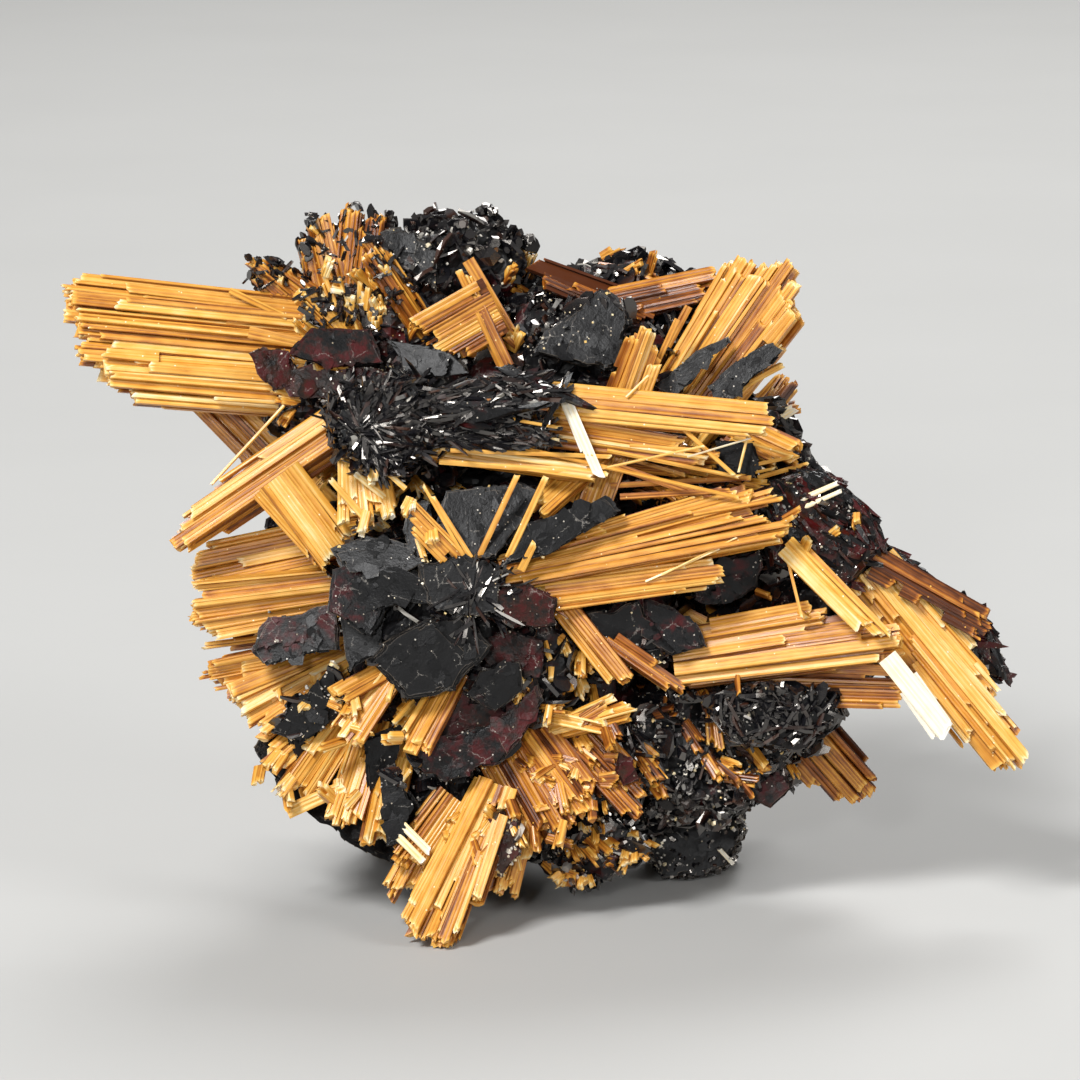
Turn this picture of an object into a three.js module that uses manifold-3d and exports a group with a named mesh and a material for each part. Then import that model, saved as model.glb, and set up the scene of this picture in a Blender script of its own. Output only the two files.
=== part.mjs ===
// Rutile in matrix: flat sheaves of golden rutile laths that grow out of black hematite plates, on a
// drusy hematite body. Millimetres, +Z up, and the front faces -Y. The specimen stands on three points:
// the tip of its bottom sheaf, the rear plate and a heel of the body behind.
import * as THREE from "three";
import { ConvexGeometry } from "three/addons/geometries/ConvexGeometry.js";
import { mergeVertices } from "three/addons/utils/BufferGeometryUtils.js";
import Module from "manifold-3d";

const wasm = await Module();
wasm.setup();

// Driving dimensions
const EYE_DISTANCE = 375; // from the eye to the point that it looks at
const EYE_TILT = THREE.MathUtils.degToRad(12); // how far the eye looks down
const MIDDLE = new THREE.Vector3(-0.2, -2.2, 21.75); // the point that the eye looks at
const FIT_GAP = 0.3; // left between crystals that touch
const PLEAT = 0.55; // how deep the grooves between laths are, as a share of the sheaf's thickness
const SHALLOW_PLEAT = 0.35; // how deep every other groove is, as a share of that
const TIP_SLANT = 0.9; // how far the tips slant, as a share of a lath's width
const TIP_THINNING = 0.2; // how much thinner a sheaf is at its tip than at its root
const PLATE_BEVEL = 0.12; // how far a plate's front face stops short of its rim, as a share of its reach
const BLOCK_CORNERS = 13; // of each rough block of the body
const BLOCK_ROUGHNESS = 0.2; // how unevenly a block's corners reach, as a share of its radii
const TABLET_TAPER = 0.85; // a druse crystal's smaller face, as a share of its larger one
const TABLET_THICKNESS = 0.6; // as a share of its radius
const TABLET_SPREAD = 0.5; // how much druse crystals differ in size, as a share of the usual one
const DRUSE_FACING = 0.35; // how squarely a spot has to face the druse's way to carry a crystal
const FLOOR_SIZE = 80; // of the block that trims the feet flat

const LOOK = new THREE.Vector3(0, Math.cos(EYE_TILT), -Math.sin(EYE_TILT));
const UPWARD = new THREE.Vector3(0, Math.sin(EYE_TILT), Math.cos(EYE_TILT));
const SIDEWAYS = new THREE.Vector3(1, 0, 0);

// A place in the specimen, given as it is seen: across to the right, up, and back from the middle.
function seen([across, up, back]) {
  const spread = 1 + back / EYE_DISTANCE;
  return MIDDLE.clone()
    .addScaledVector(SIDEWAYS, across * spread)
    .addScaledVector(UPWARD, up * spread)
    .addScaledVector(LOOK, back);
}

// The same number from 0 to 1 each time for a seed, an index and what it is for.
function chance(seed, index, use = 0) {
  const value = Math.sin(seed * 12.9898 + index * 78.233 + use * 37.719) * 43758.5453;
  return value - Math.floor(value);
}

// The smallest flat-faced solid around some points.
function hullOf(points) {
  const hull = new ConvexGeometry(points);
  hull.deleteAttribute("normal");
  const merged = mergeVertices(hull, 1e-4);
  return new wasm.Manifold(
    new wasm.Mesh({
      numProp: 3,
      vertProperties: merged.attributes.position.array,
      triVerts: new Uint32Array(merged.index.array),
    }),
  );
}

const join = (solids) => solids.reduce((whole, solid) => whole.add(solid));

// The directions of a sheaf: along its laths, towards its left-hand side, and out of its face.
function sheafAxes({ root, tip, roll }) {
  const from = seen(root);
  const along = seen(tip).sub(from);
  const length = along.length();
  along.normalize();
  const face = LOOK.clone().negate();
  face.addScaledVector(along, -face.dot(along)).normalize();
  face.applyAxisAngle(along, THREE.MathUtils.degToRad(roll));
  const side = face.clone().cross(along);
  return { from, along, length, face, side };
}

// A point in a sheaf: `distance` along its laths, `share` of the way across it and `out` from its
// middle layer.
function sheafPoint(axes, width, distance, share, out) {
  const reach = THREE.MathUtils.lerp(...width, distance / axes.length);
  return axes.from
    .clone()
    .addScaledVector(axes.along, distance)
    .addScaledVector(axes.side, reach * share)
    .addScaledVector(axes.face, out);
}

// A flat sheaf of laths side by side as one closed surface. Its two faces are pleated, so that each lath
// leans its own way, and every lath stops at its own length with a slanted tip. `ends` says how far short
// of the tip each one stops, from the right-hand lath to the left-hand one as seen from the root.
function sheafSolid(sheaf) {
  const { width, thick, ends, seed } = sheaf;
  const axes = sheafAxes(sheaf);
  const count = ends.length;
  const slants = ends.map((_, i) => TIP_SLANT * (chance(seed, i) - 0.5) * (width[1] / count));
  const reachOf = (i, hand) => Number((axes.length - ends[i] + hand * slants[i]).toFixed(1));
  const vertices = [];
  const triangles = [];

  // The line between two laths holds a point at its root and at the tip of each lath that it borders.
  const lines = Array.from({ length: count + 1 }, (_, k) => {
    const stops = [0];
    if (k > 0) stops.push(reachOf(k - 1, 1));
    if (k < count) stops.push(reachOf(k, -1));
    const distances = [...new Set(stops)].sort((a, b) => a - b);
    const pleat = 1 - PLEAT * chance(seed, k, 1) * (k % 2 ? 1 : SHALLOW_PLEAT);
    return [1, -1].map((hand) =>
      distances.map((distance) => {
        const out = (hand * pleat * thick * (1 - TIP_THINNING * (distance / axes.length))) / 2;
        vertices.push(...sheafPoint(axes, width, distance, k / count - 0.5, out).toArray());
        return { distance, index: vertices.length / 3 - 1 };
      }),
    );
  });
  const upTo = (line, reach) => line.filter(({ distance }) => distance <= reach);
  const quad = (a, b, c, d) => triangles.push(a.index, b.index, c.index, a.index, c.index, d.index);

  for (let i = 0; i < count; i++) {
    // The front and the back of the lath, as a strip between the lines that border it
    const [front, back] = [0, 1].map((face) => [
      upTo(lines[i][face], reachOf(i, -1)),
      upTo(lines[i + 1][face], reachOf(i, 1)),
    ]);
    for (const [[right, left], turned] of [
      [front, false],
      [back, true],
    ])
      for (let r = 0, l = 0; r + 1 < right.length || l + 1 < left.length; ) {
        const nextRight = right[r + 1]?.distance ?? Infinity;
        const nextLeft = left[l + 1]?.distance ?? Infinity;
        const goRight = nextRight < nextLeft;
        const next = goRight ? right[r + 1] : left[l + 1];
        const corners = [right[r].index, left[l].index, next.index];
        triangles.push(...(turned ? corners : corners.reverse()));
        if (goRight) r++;
        else l++;
      }
    const ring = [front[0], front[1], back[1], back[0]];
    quad(...ring.map((line) => line[0]));
    quad(...ring.map((line) => line.at(-1)).reverse());
  }

  // The sides of the sheaf, and of each lath where it stands past its neighbour
  lines.forEach(([front, back], k) => {
    const rightReach = k > 0 ? reachOf(k - 1, 1) : 0;
    const leftReach = k < count ? reachOf(k, -1) : 0;
    for (let j = 0; j + 1 < front.length; j++) {
      const past = front[j].distance >= Math.min(rightReach, leftReach);
      if (!past) continue;
      const wall = [front[j], front[j + 1], back[j + 1], back[j]];
      quad(...(leftReach > rightReach ? wall.reverse() : wall));
    }
  });
  return new wasm.Manifold(
    new wasm.Mesh({
      numProp: 3,
      vertProperties: new Float32Array(vertices),
      triVerts: new Uint32Array(triangles),
    }),
  );
}

// The corners of the plain slab that holds a whole sheaf, with the fitting gap all round it.
function slabCorners(sheaf) {
  const axes = sheafAxes(sheaf);
  const gapped = sheaf.width.map((width) => width + 2 * FIT_GAP);
  return [-FIT_GAP, axes.length + FIT_GAP].flatMap((distance) =>
    [-0.5, 0.5].flatMap((share) =>
      [1, -1].map((hand) => {
        const out = hand * (sheaf.thick / 2 + FIT_GAP);
        return sheafPoint(axes, gapped, distance, share, out);
      }),
    ),
  );
}

// A leaf of a plate: how far back it lies, its thickness, how it leans and its outline as seen.
function leaf(back, thick, lean, outline) {
  return { back, thick, lean, outline };
}

// A tabular crystal whose front face stops short of its rim, made larger all round by `grow`.
function plateSolid({ outline, back, thick, lean }, grow = 0) {
  const centre = [0, 1].map((k) => outline.reduce((sum, corner) => sum + corner[k], 0) / outline.length);
  const points = [];
  for (const { inset, out } of [
    { inset: PLATE_BEVEL, out: -0.5 },
    { inset: 0, out: 0.5 },
  ])
    for (const corner of outline) {
      const [across, up] = [0, 1].map((k) => corner[k] - centre[k]);
      const reach = 1 - inset + grow / Math.hypot(across, up);
      const depth = back + lean[0] * across + lean[1] * up + out * (thick + 2 * grow);
      points.push(seen([centre[0] + across * reach, centre[1] + up * reach, depth]));
    }
  return hullOf(points);
}

// Points spread evenly over a ball, with the golden angle between one and the next.
function ballPoints(count) {
  const turn = Math.PI * (3 - Math.sqrt(5));
  return Array.from({ length: count }, (_, i) => {
    const height = 1 - (2 * (i + 0.5)) / count;
    const ring = Math.sqrt(1 - height * height);
    return new THREE.Vector3(ring * Math.cos(i * turn), ring * Math.sin(i * turn), height);
  });
}

// A rough block of the body: an ellipsoid with flat broken faces. `radii` are across, up and back.
function blockSolid({ at, radii, seed }) {
  const points = ballPoints(BLOCK_CORNERS).map((p, i) => {
    const reach = 1 + BLOCK_ROUGHNESS * (chance(seed, i) - 0.5);
    return seen([p.x, p.z, p.y].map((share, k) => at[k] + share * radii[k] * reach));
  });
  return hullOf(points);
}

// Small six-sided tablets that stand out of a block on the side where it carries druse.
function druseTablets({ at, radii, seed, from, count, size }) {
  const facing = new THREE.Vector3(...from).normalize();
  const ways = ballPoints(count * 3).map((p) => new THREE.Vector3(p.x, p.z, p.y));
  const spots = ways.filter((way) => way.dot(facing) > DRUSE_FACING);
  return spots.map((way, i) => {
    const radius = size * (1 + TABLET_SPREAD * (chance(seed, i) - 0.5));
    const tablet = new THREE.CylinderGeometry(radius, radius * TABLET_TAPER, radius * TABLET_THICKNESS, 6);
    tablet.rotateX(Math.PI * chance(seed, i, 1));
    tablet.rotateZ(Math.PI * chance(seed, i, 2));
    const spot = seen(way.toArray().map((share, k) => at[k] + share * radii[k]));
    const corners = tablet.attributes.position;
    return hullOf(
      Array.from({ length: corners.count }, (_, k) =>
        new THREE.Vector3().fromBufferAttribute(corners, k).add(spot),
      ),
    );
  });
}

// The largest separate body of a solid, for when a cut leaves crumbs.
function largest(solid) {
  return solid.decompose().reduce((best, body) => (body.volume() > best.volume() ? body : best));
}

// The hematite body: overlapping blocks, each at its place as seen, with its radii across, up and back
const BLOCKS = [
  { at: [-2.5, -3.1, 2.5], radii: [15, 12.5, 9.5], seed: 1 },
  { at: [-4, -4.5, -4], radii: [11, 10, 6.3], seed: 2 },
  { at: [-8.6, 7.4, -1.6], radii: [7.4, 5.6, 5.4], seed: 15 },
  { at: [-13.4, 9, -0.6], radii: [5, 4.2, 4.4], seed: 16 },
  { at: [3.4, 7.2, -2], radii: [8.5, 5.4, 4.9], seed: 17 },
  { at: [-10.6, 12.6, 1.2], radii: [7.4, 6.4, 6.6], seed: 3 },
  { at: [-5, 17.1, 0.8], radii: [5.3, 3.6, 4.6], seed: 5 },
  { at: [4.6, 14, 1.6], radii: [8.6, 3.6, 5.7], seed: 9 },
  { at: [1.5, 9.6, 2], radii: [12, 6.4, 8], seed: 4 },
  { at: [12, 2.2, 1.6], radii: [7.2, 6.6, 7.2], seed: 6 },
  { at: [-11.2, -11.4, 0.5], radii: [6, 6, 6.2], seed: 11 },
  { at: [-3.6, -15.4, -0.8], radii: [9.5, 6, 7.4], seed: 7 },
  { at: [8.6, -12.8, 0.4], radii: [9.2, 5.8, 6.8], seed: 8 },
  { at: [3.2, -18.8, -2.6], radii: [3.4, 3, 3], seed: 13 },
  { at: [16.4, -6.4, -0.6], radii: [6, 5.4, 5.8], seed: 14 },
  { at: [1, 0, 10.5], radii: [12.5, 12, 7.5], seed: 10 },
  { at: [-5.4, -14.4, 10], radii: [5.2, 8.8, 5.4], seed: 12 },
];

// Where the body carries druse, the way it faces and its crystals' size
const DRUSES = [
  { at: [-5, 17.1, 0.8], radii: [5.1, 3.4, 4.5], seed: 21, from: [0, 0.8, -0.8], count: 7, size: 0.85 },
  { at: [8.6, -12.8, 0.4], radii: [9.1, 5.6, 6.7], seed: 23, from: [0.1, -0.5, -1], count: 4, size: 1.2 },
  { at: [3.2, -18.8, -2.6], radii: [3.3, 2.9, 2.9], seed: 25, from: [0, -0.3, -1], count: 3, size: 0.9 },
];

// Plates that stand out of the body's back and sides
const BODY_PLATES = [
  leaf(17.6, 1.8, [0.12, -0.35], [[-11, 6], [-6, 10], [-1, 8], [-2, 3], [-8, 1]]),
  leaf(18.2, 1.6, [-0.2, -0.3], [[1, 9], [7, 9.6], [9, 4], [4, 1], [0, 4]]),
  leaf(18, 1.8, [0.1, 0.3], [[-5, -1], [2, 1], [4, -6], [-1, -10], [-6, -6]]),
  leaf(14.6, 1.6, [-0.5, 0.25], [[6, -3], [12, -1], [13.4, -6], [9, -9], [5, -7]]),
  leaf(13.8, 1.6, [0.5, 0.3], [[-13, -3], [-8, -1], [-7, -7], [-11, -10], [-14, -7]]),
  leaf(7.4, 1.6, [-0.5, -0.2], [[10, 10], [15, 8.6], [17, 4], [13, 2.6], [9.6, 6]]),
  leaf(6.2, 1.4, [0.1, -0.4], [[-12, 15.6], [-7, 18.6], [-3, 17], [-5, 13], [-10, 12.6]]),
  leaf(5.8, 1.5, [-0.15, -0.5], [[0, 16.6], [6, 18], [11, 15], [7, 12.6], [1, 13]]),
  leaf(4.4, 1.5, [-0.4, 0.2], [[14, -6], [19, -4], [21.4, -8], [18, -11.4], [14, -10]]),
];

// Hematite plates and rosettes. Each crystal's leaves overlap and are grown together.
const PLATES = {
  front_rosette: [
    leaf(-11.4, 1.4, [0.1, -0.16], [
      [-10, -6.4], [-7.2, -4.8], [-4.7, -4.6], [-2.9, -6.6], [-5.1, -9.6], [-8.4, -10.1], [-10.8, -7.6],
    ]),
    leaf(-10.9, 2.2, [0, 0], [
      [-7.8, -1.4], [-4.6, -0.5], [-2.1, -1.8], [-2.5, -4.7], [-5.3, -5.2], [-7.5, -4],
    ]),
    leaf(-9.9, 1.3, [-0.26, -0.06], [
      [-12.5, -2.4], [-8.7, -1.4], [-6.4, -2.4], [-6.6, -4], [-10.6, -4.5], [-12.6, -3.9],
    ]),
    leaf(-9.7, 1.4, [-0.24, 0.16], [
      [-13.2, -0.5], [-11, 0.5], [-8, -0.2], [-6.6, -1.4], [-8.2, -2.2], [-12.2, -2.2],
    ]),
    leaf(-10.6, 1.5, [0.26, 0], [
      [-2.9, -3], [-0.6, -2.7], [1.4, -3.6], [1.2, -5.4], [-1.9, -5.8], [-3.2, -4.6],
    ]),
    leaf(-10.3, 1.2, [0.1, -0.24], [[-3.8, -8.2], [-1.2, -7.5], [-0.9, -9.4], [-2.8, -10.8], [-5, -9.7]]),
    leaf(-9.5, 1.1, [0, 0.3], [
      [-5.9, 3.1], [-1.2, 3.7], [0.3, 3.1], [-2.6, -1.4], [-5.3, -1.6], [-6.9, 0.6],
    ]),
    leaf(-9.5, 1.1, [-0.1, 0.26], [[-8.4, 2.5], [-6.9, 2.5], [-6.1, -0.8], [-7.8, -1.5], [-8.7, 0.6]]),
    leaf(-10.9, 1, [0.1, 0.1], [[-1.4, 0.8], [4.2, 2.9], [5.1, 1.8], [0.3, -1.1], [-2.8, -1.8]]),
  ],
  lower_red_plate: [
    leaf(-8.9, 1, [0, -0.1], [
      [-8.3, -13.2], [-6.9, -12.2], [-2.8, -11.4], [-1.2, -12.6], [-2.5, -14], [-5.9, -15.2], [-7.6, -14.7],
    ]),
    leaf(-9, 1, [0, 0], [[-3.4, -11.6], [0, -8.8], [0.3, -10], [-1.2, -12.6], [-2.2, -13.6]]),
  ],
  middle_rosette: [
    leaf(-8.4, 3.2, [0.05, 0.1], [
      [-13.4, 8.1], [-11.9, 9.7], [-7.5, 10], [-5.6, 7.5], [-7, 5.4], [-9.4, 3.8],
      [-11.2, 4.4], [-12.8, 5.9],
    ]),
    leaf(-10, 0.9, [0, 0.15], [[-7, 9.3], [-1.2, 10.3], [1.4, 9.2], [1.2, 8.4], [-3.7, 7.5], [-7, 7.6]]),
    leaf(-9.6, 0.9, [0, 0], [[-7, 7.7], [0.3, 7.2], [0.8, 6.2], [-0.6, 5.9], [-7, 6]]),
  ],
  upper_left_plates: [
    leaf(-5, 0.9, [0.1, 0], [
      [-18.4, 11.8], [-17.4, 12.2], [-15.6, 11.9], [-14.8, 10], [-15.9, 9.2], [-16.6, 9], [-17.8, 10.3],
    ]),
    leaf(-5.4, 0.9, [-0.1, 0], [
      [-16.6, 10.4], [-13.1, 11.4], [-9, 10.5], [-9.4, 9], [-13.1, 8.6], [-15.9, 8.9],
    ]),
  ],
  top_left_plate: [
    leaf(-2.6, 1, [0, 0.3], [[-10.3, 19.4], [-8.7, 19.6], [-6.2, 18], [-6.4, 15.4], [-9.2, 17.2]]),
  ],
  top_plate: [
    leaf(-5.6, 1.2, [0, 0.3], [
      [-0.4, 11.7], [0, 13.1], [2.5, 14.8], [3.8, 15.9], [5.8, 14.7], [6, 13.6], [5.1, 10.9],
      [4.1, 10.4], [1.8, 11.1],
    ]),
  ],
  upper_right_plate_inner: [
    leaf(-5.5, 0.8, [-0.1, 0.2], [
      [7.1, 9.6], [8.4, 9], [9.4, 9.7], [10.4, 11], [12, 12.4], [11.8, 12.8], [9.7, 11.8],
    ]),
  ],
  upper_right_plate_outer: [
    leaf(-6, 0.9, [-0.1, 0.2], [
      [10.4, 9.6], [10.8, 8.4], [11.9, 8.9], [14.6, 11], [15.3, 11.9], [14.7, 12.6], [12.5, 11.4],
    ]),
  ],
  left_plate: [
    leaf(-7.2, 1.1, [-0.12, 0.16], [
      [-17.1, -4.5], [-12.9, -4.1], [-12.2, -5.5], [-12.3, -6.9], [-17.4, -7.8], [-18.1, -6.7],
    ]),
  ],
  lower_left_plate: [
    leaf(-7, 1.1, [-0.16, -0.2], [
      [-12.9, -7.7], [-12.2, -9.4], [-12.5, -11.2], [-15.1, -12.9], [-17, -12.1], [-15.6, -10.1],
    ]),
  ],
  centre_right_plate: [
    leaf(-7.4, 1.2, [0.16, -0.2], [
      [2.8, -4.5], [6.2, -3.6], [8.9, -6.6], [7.8, -7.8], [5.3, -8.1], [3.8, -6.9],
    ]),
  ],
  right_plate: [
    leaf(-5.2, 1, [0.1, -0.2], [[8.9, -1.5], [13.9, -0.5], [14.1, -3.1], [11.4, -4.3], [9.4, -3.8]]),
  ],
  right_ridge: [
    leaf(-4.5, 5, [0.1, 0], [
      [13.9, 3.4], [16.2, 4.5], [18.4, 3.8], [20.5, 1.9], [21.6, -0.5], [19.4, -3.1],
      [16.2, -1.8], [14.1, -1.3],
    ]),
    leaf(-2.6, 2.2, [0, 0], [
      [18.8, 1.2], [21.9, -0.5], [25.6, -3.6], [28.1, -5.3], [29.3, -8.6], [28.2, -8.6],
      [24, -4.6], [19.6, -2.6],
    ]),
  ],
  lower_right_druse: [
    leaf(-5.4, 3, [0.14, -0.2], [
      [10.4, -10], [13.4, -9], [18.4, -9.5], [19.2, -10.9], [16.3, -12.9], [11.9, -12.5],
    ]),
  ],
  right_small_plate: [leaf(-5.4, 1, [0, 0], [[10.9, 6.2], [13.4, 6.2], [14, 4.4], [12.6, 3.4], [11, 4.2]])],
  lower_left_blade: [
    leaf(-9.2, 0.9, [0, 0], [[-10.1, -14.6], [-8.9, -14.4], [-8.1, -16.4], [-8.3, -19], [-9.6, -19.2]]),
  ],
  bottom_red_plate: [
    leaf(-8.6, 1, [0, 0], [[-3.4, -16.9], [-1.3, -17.4], [-1.2, -19.6], [-2.4, -21.2], [-3.6, -19.4]]),
  ],
  rear_plate: [
    leaf(5.5, 5, [0, 0], [
      [6.6, -19.6], [8, -14.6], [12.2, -14.6], [12.9, -18.1], [12, -20.6], [9.9, -21.4], [7.4, -21.4],
    ]),
  ],
};

// A sheaf of laths: its root and tip as seen, its width at each, its thickness, how far short each lath
// stops and how far the sheaf is rolled about its length.
function laths(root, tip, width, thick, ends, roll = 0) {
  const seed = root[0] * 3.7 + tip[1] * 1.3; // its own number for each sheaf, from where it stands
  return { root, tip, width, thick, ends, roll, seed };
}

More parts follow.
